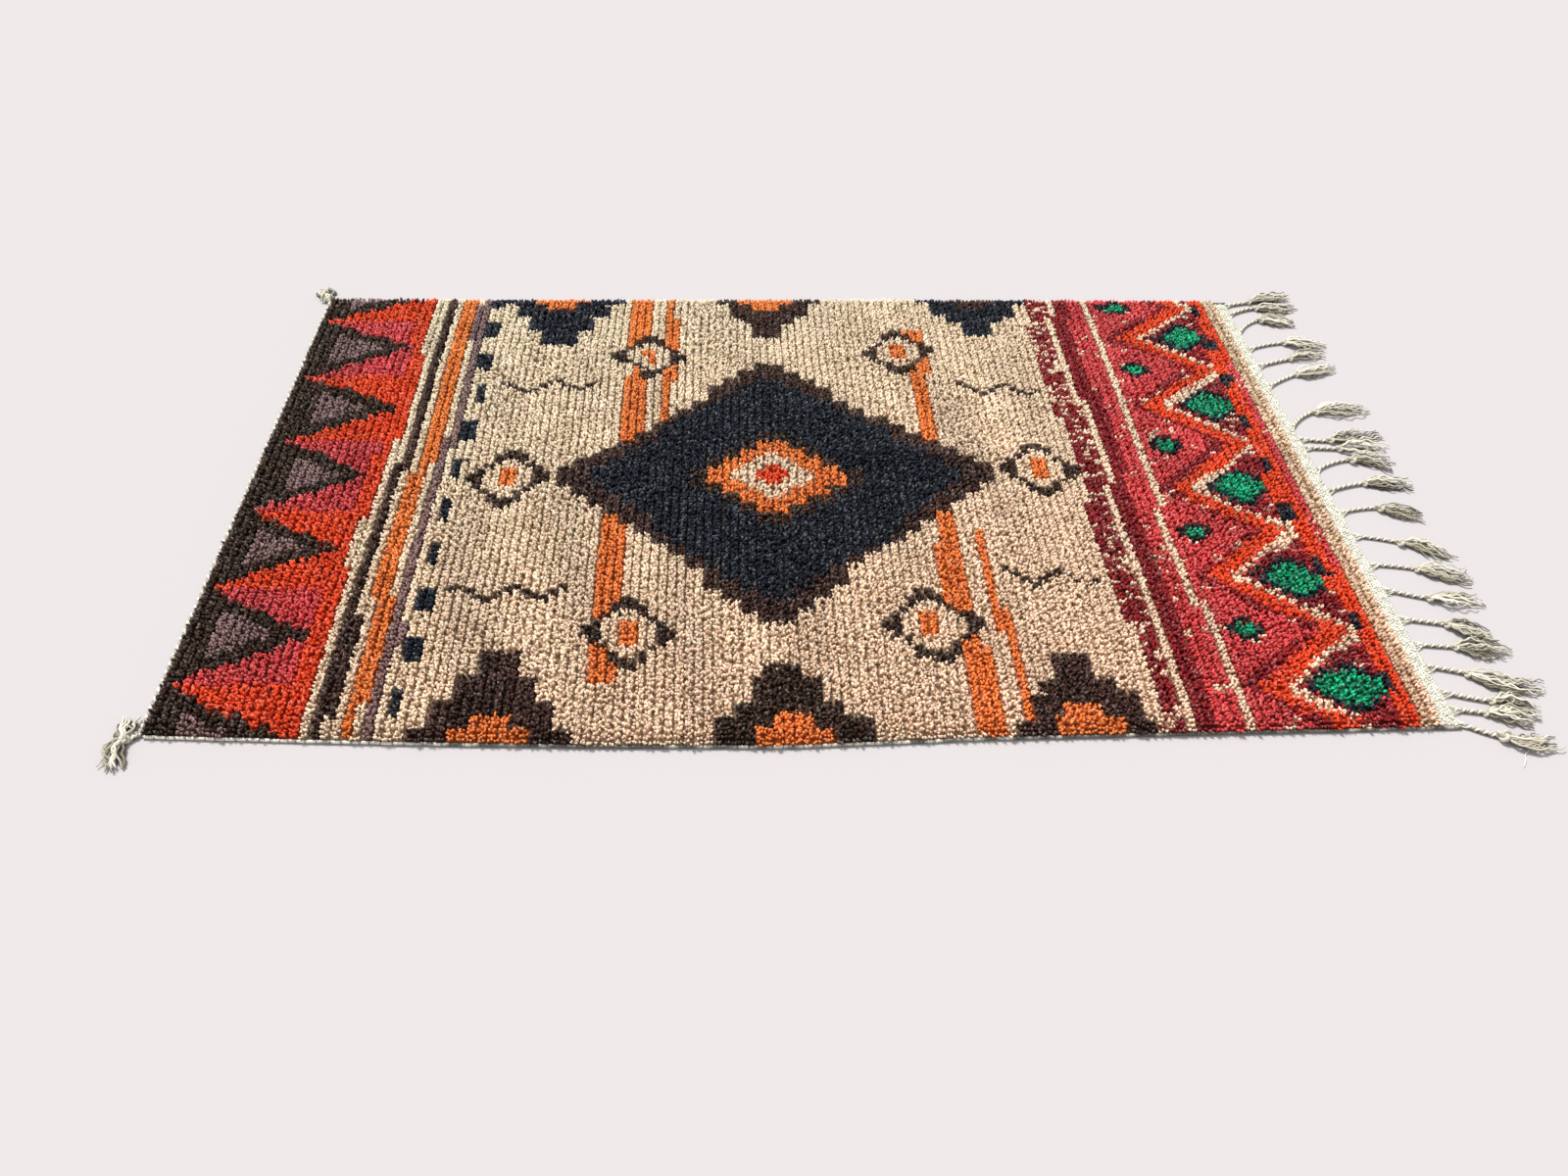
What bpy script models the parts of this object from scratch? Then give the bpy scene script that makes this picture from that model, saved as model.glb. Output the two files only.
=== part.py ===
"""Hand-knotted pile rug, lying flat: pile, side selvedges, starting cord and a flat-woven end with a fringe.

Metres. +X runs along the warp towards the fringed end, +Y to the far long side and +Z up. The origin is the
middle of the flat underside. Every piece is first laid out on a straight rectangle, as on the loom, and then
moved by lie(), which gives the rug its slightly bowed edges.
"""

import math
import random
from collections import namedtuple

import bmesh
import bpy
from mathutils import Vector

# The woven rug, without the fringe
RUG_LENGTH = 2.500
RUG_WIDTH = 1.500
HALF_LENGTH = RUG_LENGTH / 2
HALF_WIDTH = RUG_WIDTH / 2
GAP = 0.0003

# The pile: rows of knots run across the rug, and each row is one rib
PILE_RIBS = 128
PILE_CREST = 0.0220
PILE_VALLEY = 0.0175
PILE_ROUNDING = 0.0040
RIM_VALLEY_INSET = 0.0040

# How far the rows of knots wander along the rug, over what length that fades, and its waves per radian
RIB_SWAY = 0.0035
RIB_SWAY_FADE = 0.10
SwayWave = namedtuple("SwayWave", "along across")
SWAY_SINE = SwayWave(1.9, 5.3)
SWAY_COSINE = SwayWave(-3.7, 2.1)

# The cords and bands that finish the edges
SELVEDGE_WIDTH = 0.0080
SELVEDGE_SIDES = 6
SELVEDGE_SHORTFALL = 0.0010
RIM_LEDGE = SELVEDGE_WIDTH + 3 * GAP
RIM_LIP = SELVEDGE_WIDTH + 0.0035
KILIM_WIDTH = 0.040
KILIM_THICKNESS = 0.0040
CORD_HALF_SIDE = 0.0045
CORD_REACH = CORD_HALF_SIDE * math.sqrt(2)
START_CORD_SEGMENTS = 152
START_CORD_END = 0.735

PILE_START = -HALF_LENGTH + 2 * CORD_REACH + GAP
PILE_END = HALF_LENGTH - KILIM_WIDTH - GAP
SELVEDGE_END = HALF_LENGTH - SELVEDGE_SHORTFALL

# A cord has a ring of four points at each step, an eighth of a turn round from the ring before
QUARTER_TURN = math.radians(90)
RING_TWIST = math.radians(45)
FIRST_CORNER = math.radians(225)
CORD_RINGS = 7
CORD_BEND = 0.4
FRINGE_ROOT_HALF_WIDTH = 0.0035

# A tassel: a knot, then locks side by side in two layers
LOCK_COLUMNS = 4
LOCK_LAYERS = 2
HEAD_WIDTH = 0.020
HEAD_HEIGHT = 0.0105
UPPER_LAYER_LENGTH = 0.86
SHORTEST_LOCK = 0.86
LOCK_SEED = 1000

LockRing = namedtuple("LockRing", "share pitch width height")
LOCK_RINGS = (
    LockRing(0.5, 0.0088, 0.0074, 0.00465),
    LockRing(1.0, 0.0100, 0.0034, 0.00345),
)

KnotRing = namedtuple("KnotRing", "step half_width half_height")
KNOT_RINGS = (
    KnotRing(0.005, 0.0058, 0.0055),
    KnotRing(0.006, 0.0105, 0.0080),
    KnotRing(0.008, 0.0105, 0.0080),
    KnotRing(0.006, 0.0075, 0.0055),
)

# How far each long side lies outside the straight rectangle, at places along it
EdgePoint = namedtuple("EdgePoint", "at out")
NEAR_EDGE = (
    EdgePoint(-1.25, -0.006),
    EdgePoint(-1.05, 0.003),
    EdgePoint(-0.77, 0.015),
    EdgePoint(-0.40, 0.026),
    EdgePoint(-0.04, 0.031),
    EdgePoint(0.33, 0.016),
    EdgePoint(0.71, 0.009),
    EdgePoint(1.25, -0.001),
)
FAR_EDGE = (
    EdgePoint(-1.25, 0.003),
    EdgePoint(-0.80, 0.000),
    EdgePoint(-0.27, 0.004),
    EdgePoint(0.28, 0.008),
    EdgePoint(1.25, 0.010),
)
# The fringed end is out of square: its near corner lies this far beyond its far one
FRINGE_END_SKEW = 0.026

# Soft swells of the pile face: a creased fold towards the fringed end, and lower ones where it lies loose
Swell = namedtuple("Swell", "x y half_length half_width height")
SWELLS = (
    Swell(0.33, 0.07, 0.26, 0.040, 0.0120),
    Swell(-0.52, -0.03, 0.16, 0.120, 0.0040),
    Swell(-0.95, 0.40, 0.12, 0.160, 0.0025),
    Swell(0.85, -0.35, 0.20, 0.110, 0.0030),
)
# Rows of points across the pile, closest together over the crease
PILE_ROWS = (-0.715, -0.360, 0.000, 0.070, 0.140, 0.430, 0.715)

# Fringe, from the far corner to the near one. Headings are in degrees from +X towards +Y.
FringeCord = namedtuple("FringeCord", "root_y cord_heading cord_length tassel_heading tassel_length knot")
FRINGE = (
    FringeCord(0.735, 14, 0.060, 12, 0.115, 0.9),
    FringeCord(0.690, 25, 0.075, -8, 0.105, 0.9),
    FringeCord(0.605, 44, 0.083, -7, 0.080, 1.2),
    FringeCord(0.524, 18, 0.095, -6, 0.098, 1.0),
    FringeCord(0.446, 20, 0.085, 12, 0.093, 0.9),
    FringeCord(0.359, 32, 0.084, 16, 0.110, 0.8),
    FringeCord(0.190, 42, 0.085, 0, 0.130, 1.0),
    FringeCord(0.140, -8, 0.062, 12, 0.125, 1.1),
    FringeCord(0.105, -3, 0.072, -4, 0.105, 1.0),
    FringeCord(0.022, 25, 0.093, -13, 0.085, 1.2),
    FringeCord(-0.054, 18, 0.085, 0, 0.103, 0.9),
    FringeCord(-0.130, 12, 0.086, -15, 0.087, 1.2),
    FringeCord(-0.208, -12, 0.088, -27, 0.100, 1.1),
    FringeCord(-0.300, -7, 0.087, -20, 0.100, 0.9),
    FringeCord(-0.376, -18, 0.080, -10, 0.102, 1.1),
    FringeCord(-0.462, -10, 0.081, -12, 0.094, 1.1),
    FringeCord(-0.533, -6, 0.070, -5, 0.105, 0.9),
    FringeCord(-0.593, -14, 0.064, -22, 0.140, 1.0),
    FringeCord(-0.659, -16, 0.081, -6, 0.075, 1.0),
    FringeCord(-0.703, -8, 0.052, -12, 0.090, 0.8),
    FringeCord(-0.737, -28, 0.067, -10, 0.090, 1.4),
)

# The starting cord's two corner tassels
CornerTassel = namedtuple(
    "CornerTassel", "leaving_heading cord_heading tassel_heading cord_length tassel_length knot"
)
NEAR_CORNER = CornerTassel(-90, -180, -112, 0.028, 0.065, 1.1)
FAR_CORNER = CornerTassel(90, 118, 124, 0.018, 0.045, 0.9)

# Base colour and roughness of each piece
Finish = namedtuple("Finish", "red green blue roughness")
PILE_WOOL = Finish(0.55, 0.42, 0.27, 0.95)
FLAT_WEAVE_WOOL = Finish(0.80, 0.76, 0.66, 0.90)
SELVEDGE_WOOL = Finish(0.76, 0.72, 0.62, 0.90)
CORD_WOOL = Finish(0.78, 0.73, 0.61, 0.90)


def clear_scene():
    for obj in list(bpy.data.objects):
        bpy.data.objects.remove(obj, do_unlink=True)


def wool(name, finish):
    material = bpy.data.materials.new(name)
    material.use_nodes = True
    shader = material.node_tree.nodes["Principled BSDF"]
    shader.inputs["Base Color"].default_value = (finish.red, finish.green, finish.blue, 1.0)
    shader.inputs["Roughness"].default_value = finish.roughness
    shader.inputs["Metallic"].default_value = 0.0
    return material


def add_piece(name, bm, material, rug, centre):
    """Turns the bmesh into an object of the rug whose origin is at centre."""
    bmesh.ops.recalc_face_normals(bm, faces=bm.faces)
    bmesh.ops.translate(bm, verts=bm.verts, vec=-centre)
    mesh = bpy.data.meshes.new(name)
    bm.to_mesh(mesh)
    bm.free()
    mesh.materials.append(material)
    piece = bpy.data.objects.new(name, mesh)
    piece.location = centre
    piece.parent = rug
    bpy.context.scene.collection.objects.link(piece)
    return piece


def out_at(edge, along):
    """How far a long side lies outside the straight line, read between the points of its table."""
    for before, after in zip(edge, edge[1:]):
        if along <= after.at:
            share = (along - before.at) / (after.at - before.at)
            return before.out + (after.out - before.out) * share
    return edge[-1].out


def lie(x, y, z=0.0):
    """Where a point of the straight rectangle lies on the real rug."""
    towards_fringe = (x + HALF_LENGTH) / RUG_LENGTH
    towards_far = (y + HALF_WIDTH) / RUG_WIDTH
    shift_x = FRINGE_END_SKEW * towards_fringe * (1 - towards_far)
    shift_y = out_at(FAR_EDGE, x) * towards_far - out_at(NEAR_EDGE, x) * (1 - towards_far)
    return Vector((x + shift_x, y + shift_y, z))


def bridge(bm, ring, following):
    """Walls between two rings with the same number of points."""
    for i in range(len(ring)):
        j = (i + 1) % len(ring)
        bm.faces.new((ring[i], ring[j], following[j], following[i]))


def swell_height(x, y):
    height = 0.0
    for swell in SWELLS:
        along = (x - swell.x) / swell.half_length
        across = (y - swell.y) / swell.half_width
        height += swell.height * math.exp(-(along**4) - across**2)
    return height


def rib_sway(x, y):
    """Rows of knots wander a little along the rug, but run straight at its two ends."""
    fade = min(1.0, (x - PILE_START) / RIB_SWAY_FADE, (PILE_END - x) / RIB_SWAY_FADE)
    sine = math.sin(SWAY_SINE.along * x + SWAY_SINE.across * y)
    cosine = math.cos(SWAY_COSINE.along * x + SWAY_COSINE.across * y)
    return RIB_SWAY * fade * sine * cosine


def pile_section(x, is_crest):
    """The outline of the pile across the rug at x: it stands inside the selvedges and leans out over them."""
    top = PILE_CREST if is_crest else PILE_VALLEY
    inset = 0.0 if is_crest else RIM_VALLEY_INSET
    foot = HALF_WIDTH - SELVEDGE_WIDTH - GAP
    lip = HALF_WIDTH - inset
    flank = (
        (foot, 0.0),
        (foot, RIM_LEDGE),
        (lip, RIM_LIP),
        (lip - PILE_ROUNDING, top - PILE_ROUNDING),
    )
    near = [(-y, z) for y, z in flank]
    face = [(y, top + swell_height(x, y)) for y in PILE_ROWS]
    far = [(y, z) for y, z in reversed(flank)]
    return [lie(x + rib_sway(x, y), y, z) for y, z in near + face + far]


def pile_field(material, rug):
    bm = bmesh.new()
    columns = 2 * PILE_RIBS + 1
    rings = []
    for column in range(columns):
        x = PILE_START + (PILE_END - PILE_START) * column / (columns - 1)
        section = pile_section(x, is_crest=column % 2 == 1)
        rings.append([bm.verts.new(point) for point in section])
    for ring, following in zip(rings, rings[1:]):
        bridge(bm, ring, following)
    bm.faces.new(rings[0])
    bm.faces.new(rings[-1])
    add_piece("pile_field", bm, material, rug, Vector((0.0, 0.0, 0.0)))


def selvedge(name, side, material, rug):
    """The cord along one long side, with its flat lowest face on the floor."""
    bm = bmesh.new()
    radius = SELVEDGE_WIDTH / 2
    apothem = radius * math.cos(math.pi / SELVEDGE_SIDES)
    middle_y = side * (HALF_WIDTH - radius)
    bends = [point.at for point in NEAR_EDGE + FAR_EDGE if PILE_START < point.at < SELVEDGE_END]
    rings = []
    for x in sorted({PILE_START, SELVEDGE_END, *bends}):
        ring = []
        for corner in range(SELVEDGE_SIDES):
            angle = 2 * math.pi * corner / SELVEDGE_SIDES
            y = middle_y + radius * math.cos(angle)
            ring.append(bm.verts.new(lie(x, y, apothem + radius * math.sin(angle))))
        rings.append(ring)
    for ring, following in zip(rings, rings[1:]):
        bridge(bm, ring, following)
    bm.faces.new(rings[0])
    bm.faces.new(rings[-1])
    add_piece(name, bm, material, rug, Vector((0.0, middle_y, 0.0)))


def cord_ring(bm, middle, heading, half_width, half_height, turn):
    """Four points round a cord, the lowest of them on the floor."""
    across = Vector((-math.sin(heading), math.cos(heading), 0.0))
    corners = []
    for quarter in range(4):
        angle = FIRST_CORNER + QUARTER_TURN * quarter + turn
        side = half_width * math.sqrt(2) * math.cos(angle)
        up = half_height * math.sqrt(2) * math.sin(angle)
        corners.append((side, up))
    lowest = min(up for side, up in corners)
    return [bm.verts.new(middle + across * side + Vector((0.0, 0.0, up - lowest))) for side, up in corners]


def step_along(middle, heading, step):
    return middle + Vector((math.cos(heading), math.sin(heading), 0.0)) * step


def lock(bm, root, middle, heading, column, layer, length):
    """One tapering lock of a tassel, grown from the four points of root."""
    low = 0.0 if layer == 0 else HEAD_HEIGHT / 2
    ring = root
    across = Vector((-math.sin(heading), math.cos(heading), 0.0))
    for stage in LOCK_RINGS:
        place = step_along(middle, heading, length * stage.share)
        place = place + across * stage.pitch * (column - (LOCK_COLUMNS - 1) / 2)
        sideways = across * stage.width / 2
        bottom = place + Vector((0.0, 0.0, low))
        top = bottom + Vector((0.0, 0.0, stage.height))
        corners = (bottom - sideways, bottom + sideways, top + sideways, top - sideways)
        following = [bm.verts.new(corner) for corner in corners]
        bridge(bm, ring, following)
        ring = following
    bm.faces.new(ring)


def tassel(bm, ring, middle, headings, length, knot, wander):
    """A knot and its locks, grown from ring. headings are the cord's and the tassel's."""
    steps = len(KNOT_RINGS) + 1
    for number, knot_ring in enumerate(KNOT_RINGS):
        heading = headings[0] + (headings[1] - headings[0]) * (number + 1) / steps
        is_bulge = 0 < number < len(KNOT_RINGS) - 1
        size = knot if is_bulge else 1.0
        middle = step_along(middle, heading, knot_ring.step * size)
        half_width = knot_ring.half_width * size
        half_height = knot_ring.half_height * size
        following = cord_ring(bm, middle, heading, half_width, half_height, 0.0)
        bridge(bm, ring, following)
        ring = following
    heading = headings[1]
    middle = step_along(middle, heading, KNOT_RINGS[-1].step)
    across = Vector((-math.sin(heading), math.cos(heading), 0.0))
    grid = []
    for layer in range(LOCK_LAYERS + 1):
        up = Vector((0.0, 0.0, HEAD_HEIGHT * layer / LOCK_LAYERS))
        row = []
        for column in range(LOCK_COLUMNS + 1):
            side = HEAD_WIDTH * (column / LOCK_COLUMNS - 0.5)
            row.append(bm.verts.new(middle + across * side + up))
        grid.append(row)
    left = [row[0] for row in grid]
    right = [row[-1] for row in grid]
    bm.faces.new([ring[0], ring[1], *reversed(grid[0])])
    bm.faces.new([ring[1], ring[2], *reversed(right)])
    bm.faces.new([ring[2], ring[3], *grid[-1]])
    bm.faces.new([ring[3], ring[0], *left])
    for layer in range(LOCK_LAYERS):
        reach = 1.0 if layer == 0 else UPPER_LAYER_LENGTH
        for column in range(LOCK_COLUMNS):
            below, above = grid[layer], grid[layer + 1]
            root = [below[column], below[column + 1], above[column + 1], above[column]]
            lock_length = length * reach * wander.uniform(SHORTEST_LOCK, 1.0)
            lock(bm, root, middle, heading, column, layer, lock_length)


def cord_and_tassel(bm, root, middle, headings, lengths, knot, wander):
    """A twisted cord from root, then its tassel. headings are at the root, at the knot and at the tips."""
    ring = root
    cord_length, tassel_length = lengths
    leaving, arriving, falling = [math.radians(heading) for heading in headings]
    for number in range(1, CORD_RINGS + 1):
        heading = leaving + (arriving - leaving) * number / CORD_RINGS
        middle = step_along(middle, heading, cord_length / CORD_RINGS)
        following = cord_ring(bm, middle, heading, CORD_HALF_SIDE, CORD_HALF_SIDE, RING_TWIST * number)
        bridge(bm, ring, following)
        ring = following
    tassel(bm, ring, middle, (arriving, falling), tassel_length, knot, wander)


def kilim_stations():
    """Where the flat-woven end has points across the rug: both sides of each cord's root, and both ends."""
    half = HALF_WIDTH - SELVEDGE_WIDTH - GAP
    stations = [-half, half]
    for cord in FRINGE:
        stations += [cord.root_y - FRINGE_ROOT_HALF_WIDTH, cord.root_y + FRINGE_ROOT_HALF_WIDTH]
    return sorted(stations)


def kilim_end_fringe(material, rug):
    """The flat-woven end, whose warp ends leave it as twisted cords with tassels."""
    bm = bmesh.new()
    inner_x = PILE_END + GAP
    top = KILIM_THICKNESS
    outline = ((inner_x, 0.0), (HALF_LENGTH, 0.0), (HALF_LENGTH, top), (inner_x, top))
    rings = []
    for y in kilim_stations():
        rings.append([bm.verts.new(lie(x, y, z)) for x, z in outline])
    bm.faces.new(rings[0])
    bm.faces.new(rings[-1])
    roots = []
    for number, (ring, following) in enumerate(zip(rings, rings[1:])):
        is_root = number % 2 == 1
        for i in range(len(ring)):
            j = (i + 1) % len(ring)
            if i == 1 and is_root:
                roots.append([ring[1], following[1], following[2], ring[2]])
                continue
            bm.faces.new((ring[i], ring[j], following[j], following[i]))
    for root, cord in zip(reversed(roots), FRINGE):
        wander = random.Random(round(cord.root_y * LOCK_SEED))
        arriving = cord.cord_heading + CORD_BEND * (cord.tassel_heading - cord.cord_heading)
        leaving = 2 * cord.cord_heading - arriving
        headings = (leaving, arriving, cord.tassel_heading)
        middle = lie(HALF_LENGTH, cord.root_y)
        lengths = (cord.cord_length, cord.tassel_length)
        cord_and_tassel(bm, root, middle, headings, lengths, cord.knot, wander)
    add_piece("kilim_end_fringe", bm, material, rug, Vector((HALF_LENGTH, 0.0, 0.0)))


def start_cord(material, rug):
    """The twined cord that the weaving started from, with a tassel at each corner."""
    bm = bmesh.new()
    middle_x = -HALF_LENGTH + CORD_REACH
    rings = []
    for number in range(START_CORD_SEGMENTS + 1):
        y = START_CORD_END * (2 * number / START_CORD_SEGMENTS - 1)
        middle = lie(middle_x, y)
        ring = cord_ring(bm, middle, QUARTER_TURN, CORD_HALF_SIDE, CORD_HALF_SIDE, RING_TWIST * number)
        rings.append(ring)
    for ring, following in zip(rings, rings[1:]):
        bridge(bm, ring, following)
    first = rings[0]
    turned_round = [first[1], first[0], first[3], first[2]]
    for corner, root, side in ((NEAR_CORNER, turned_round, -1), (FAR_CORNER, rings[-1], 1)):
        headings = (corner.leaving_heading, corner.cord_heading, corner.tassel_heading)
        middle = lie(middle_x, side * START_CORD_END)
        wander = random.Random(side)
        lengths = (corner.cord_length, corner.tassel_length)
        cord_and_tassel(bm, root, middle, headings, lengths, corner.knot, wander)
    add_piece("start_cord", bm, material, rug, Vector((-HALF_LENGTH, 0.0, 0.0)))


def build_rug():
    clear_scene()
    rug = bpy.data.objects.new("rug", None)
    bpy.context.scene.collection.objects.link(rug)
    pile_field(wool("pile_wool", PILE_WOOL), rug)
    selvedge_wool = wool("selvedge_wool", SELVEDGE_WOOL)
    selvedge("selvedge_near", -1, selvedge_wool, rug)
    selvedge("selvedge_far", 1, selvedge_wool, rug)
    start_cord(wool("start_cord_wool", CORD_WOOL), rug)
    kilim_end_fringe(wool("flat_weave_wool", FLAT_WEAVE_WOOL), rug)


build_rug()
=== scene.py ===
"""Dresses the rug: knotted wool pile on its woven ground, side selvedges, starting cord and fringed end.

Metres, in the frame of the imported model. The rug is laid out on a straight rectangle, as on the loom, and
lie() moves each point to where it is on the real rug.
"""

import math
from collections import namedtuple

import bpy
import numpy as np
from mathutils import Matrix, Vector
from numpy.random import default_rng


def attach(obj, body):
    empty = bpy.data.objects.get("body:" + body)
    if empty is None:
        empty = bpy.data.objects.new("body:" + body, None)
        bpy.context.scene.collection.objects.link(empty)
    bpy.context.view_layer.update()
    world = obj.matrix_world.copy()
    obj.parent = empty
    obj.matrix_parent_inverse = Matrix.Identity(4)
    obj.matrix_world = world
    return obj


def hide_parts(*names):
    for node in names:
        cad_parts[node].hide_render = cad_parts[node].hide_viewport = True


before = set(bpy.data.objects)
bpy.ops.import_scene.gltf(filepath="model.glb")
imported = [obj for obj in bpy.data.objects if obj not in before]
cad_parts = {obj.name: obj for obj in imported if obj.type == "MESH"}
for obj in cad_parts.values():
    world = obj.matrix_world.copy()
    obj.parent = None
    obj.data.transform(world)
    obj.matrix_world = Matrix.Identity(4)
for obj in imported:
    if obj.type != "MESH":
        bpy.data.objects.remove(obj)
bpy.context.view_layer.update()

TURN = 2 * math.pi

# The woven rug, without the fringe
RUG_LENGTH = 2.500
RUG_WIDTH = 1.500
HALF_LENGTH = RUG_LENGTH / 2
HALF_WIDTH = RUG_WIDTH / 2
GAP = 0.0003
SELVEDGE_WIDTH = 0.0080
KILIM_WIDTH = 0.040
CORD_HALF_SIDE = 0.0045
CORD_REACH = CORD_HALF_SIDE * math.sqrt(2)
START_CORD_END = 0.735
PILE_START = -HALF_LENGTH + 2 * CORD_REACH + GAP
PILE_END = HALF_LENGTH - KILIM_WIDTH - GAP
PILE_FOOT = HALF_WIDTH - SELVEDGE_WIDTH - GAP
SELVEDGE_END = HALF_LENGTH - 0.0010

# How the rug lies: its bowed long sides, its skewed fringed end and the swells of its face. A long side is
# given by places along the rug and how far out it lies at each.
NEAR_EDGE = (
    (-1.25, -0.006),
    (-1.05, 0.003),
    (-0.77, 0.015),
    (-0.40, 0.026),
    (-0.04, 0.031),
    (0.33, 0.016),
    (0.71, 0.009),
    (1.25, -0.001),
)
FAR_EDGE = (
    (-1.25, 0.003),
    (-0.80, 0.000),
    (-0.27, 0.004),
    (0.28, 0.008),
    (1.25, 0.010),
)
FRINGE_END_SKEW = 0.026
Swell = namedtuple("Swell", "x y half_length half_width height")
SWELLS = (
    Swell(0.33, 0.07, 0.26, 0.040, 0.0120),
    Swell(-0.52, -0.03, 0.16, 0.120, 0.0040),
    Swell(-0.95, 0.40, 0.12, 0.160, 0.0025),
    Swell(0.85, -0.35, 0.20, 0.110, 0.0030),
)
RIB_SWAY = 0.0035
RIB_SWAY_FADE = 0.10
SwayWave = namedtuple("SwayWave", "along across")
SWAY_SINE = SwayWave(1.9, 5.3)
SWAY_COSINE = SwayWave(-3.7, 2.1)

# How much a measure drifts, and over about what length
Drift = namedtuple("Drift", "amount seed wave")
DRIFT_WAVES = 5
DRIFT_PEAK = 3.2

# The pile: rows of knots run across the rug, and each knot shows three yarn ends
PILE_ROWS = 128
KNOTS = 185
PILE_STRIPS = 5
TUFT_SIDES = 3
TUFT_FOOT = 0.0050
TUFT_LENGTH = 0.0178
YarnEnd = namedtuple("YarnEnd", "foot_x foot_y lean_x lean_y length")
YARN_ENDS = (
    YarnEnd(-0.0032, 0.0014, -0.15, -0.10, 0.97),
    YarnEnd(0.0000, -0.0026, 0.00, -0.02, 1.05),
    YarnEnd(0.0032, 0.0014, 0.15, -0.10, 0.97),
)
# Each ring's shade is painted shade and light: the roots of the yarn ends are painted darker, as the shade
# between them, and the tips painted brighter, as painted light.
TuftRing = namedtuple("TuftRing", "share radius shade gloss")
# Each ring's glint is its share of the painted glints.
TUFT_RINGS = (
    TuftRing(0.00, 0.0032, 0.68, 0.0),
    TuftRing(0.72, 0.0039, 0.98, 0.7),
    TuftRing(1.00, 0.0010, 1.08, 1.0),
)
FOOT_NOISE_X = 0.0009
FOOT_NOISE_Y = 0.0021
LENGTH_NOISE = 0.05
LENGTH_DRIFT = Drift(0.04, 23, 0.05)
RADIUS_NOISE = 0.07
BEND_POWER = 1.4
CURL = 0.0011

# How far the yarn ends lean, as the sine of their angle from upright
TANGLE = 0.105
TANGLE_DRIFT = Drift(0.105, 20, 0.45)
LEAST_TANGLE = 0.03
TANGLE_ALONG_ROW = 1.5
NEAR_TANGLE = 0.03
NEAR_TANGLE_Y = (0.25, 0.65)
LEAN_X_DRIFT = Drift(0.10, 21, 0.12)
LEAN_Y_DRIFT = Drift(0.12, 22, 0.14)
FIRST_ROW_LEAN = -0.15
LAST_ROW_LEAN = 0.25
MOST_LEAN = 0.80

# The rims of the pile, which hang over the side cords
RIM_START = 0.020
RIM_WIDTH = 0.018
RIM_SPREAD = 0.85
RIM_LENGTH = 0.74
RIM_NOISE = 0.14
FAR_OVERHANG = 0.55
NEAR_OVERHANG = (0.45, 0.72)
NEAR_OVERHANG_X = (-0.90, -0.40)

# How the colour of the yarn varies from end to end and over the rug, and the painted glints near the tips
# Painted glints: random light colour added to the yarn ends, most at the tips, as the wool's shine
PAINTED_GLINT = 0.13
PAINTED_GLINT_POWER = 5
# Random tone from end to end; on dark yarns it is spread wider, partly as uneven tone and partly as painted
# glints and painted shade
UNEVEN = 0.12
DARK_UNEVEN_AND_GLINT = 0.33
DARK_YARN = 0.06
UNEVEN_TONES = (0.3, 2.4)
HUE_NOISE = 0.022
DYE_TONE = 0.91
DYE_DRIFT = Drift(0.10, 11, 0.16)
DYE_ALONG_ROW = 0.35
YELLOWER = np.array((-0.04, 0.11, 0.13))
YELLOWER_TO_FAR = 0.60
YELLOWER_TO_START = 0.35

# The feet of the knots, packed on the woven ground into a ridge along each row
BED_COLUMNS = 74
BED_CREST = 0.0118
BED_VALLEY = 0.0065
BED_RIM = 0.0055
BED_DRIFT = Drift(0.0008, 24, 0.03)
# Painted shade: the feet take the knots' colour darkened, and darker still in the valleys between rows
BED_CREST_SHADE = 0.62
BED_VALLEY_SHADE = 0.32
BACK_HEIGHT = 0.0001
BACK_SHADE = 0.80
# Painted shade is warmed by this tint, on the feet of the knots and most at the roots of the yarn ends
ROOT_SHADE_TINT = (1.00, 0.87, 0.74)

# Side cords, overcast with slanting wraps of wool that part here and there, with painted shadow where the
# pile hangs over them and painted shade in the slits and between wraps
SELVEDGE_LIFT = 0.0004
SELVEDGE_SIDES = 6
SELVEDGE_SWAY = Drift(0.0006, 32, 0.06)
WRAP = 0.0052
RINGS_A_WRAP = 3
WRAP_ROUND = 0.93
WRAP_RELIEF = 0.09
WRAP_SHADE = 0.20
LIT_X = (-0.75, -0.40)
LIT_SHARE = (0.95, 0.12)
LIT_DRIFT = Drift(0.75, 34, 0.05)
LIT_TONE = 1.10
SHADOWED_TONE = 0.16
SLIT_STEP = 0.019
SLIT_DRIFT = Drift(2.0, 36, 0.15)
SLIT_FROM = 0.80
SLIT_LIT_SHARE = 0.25

# The flat-woven band: its puckered cloth, the plump wefts on it and the warp ends that leave it
BAND_ROWS = 10
BAND_COLUMNS = 186
BAND_TOP = 0.0026
BAND_BOTTOM = 0.0002
BAND_EDGE = Drift(0.0012, 51, 0.05)
BAND_EDGE_PLACE = 0.3
BAND_EDGE_INSET = 0.0008
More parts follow.
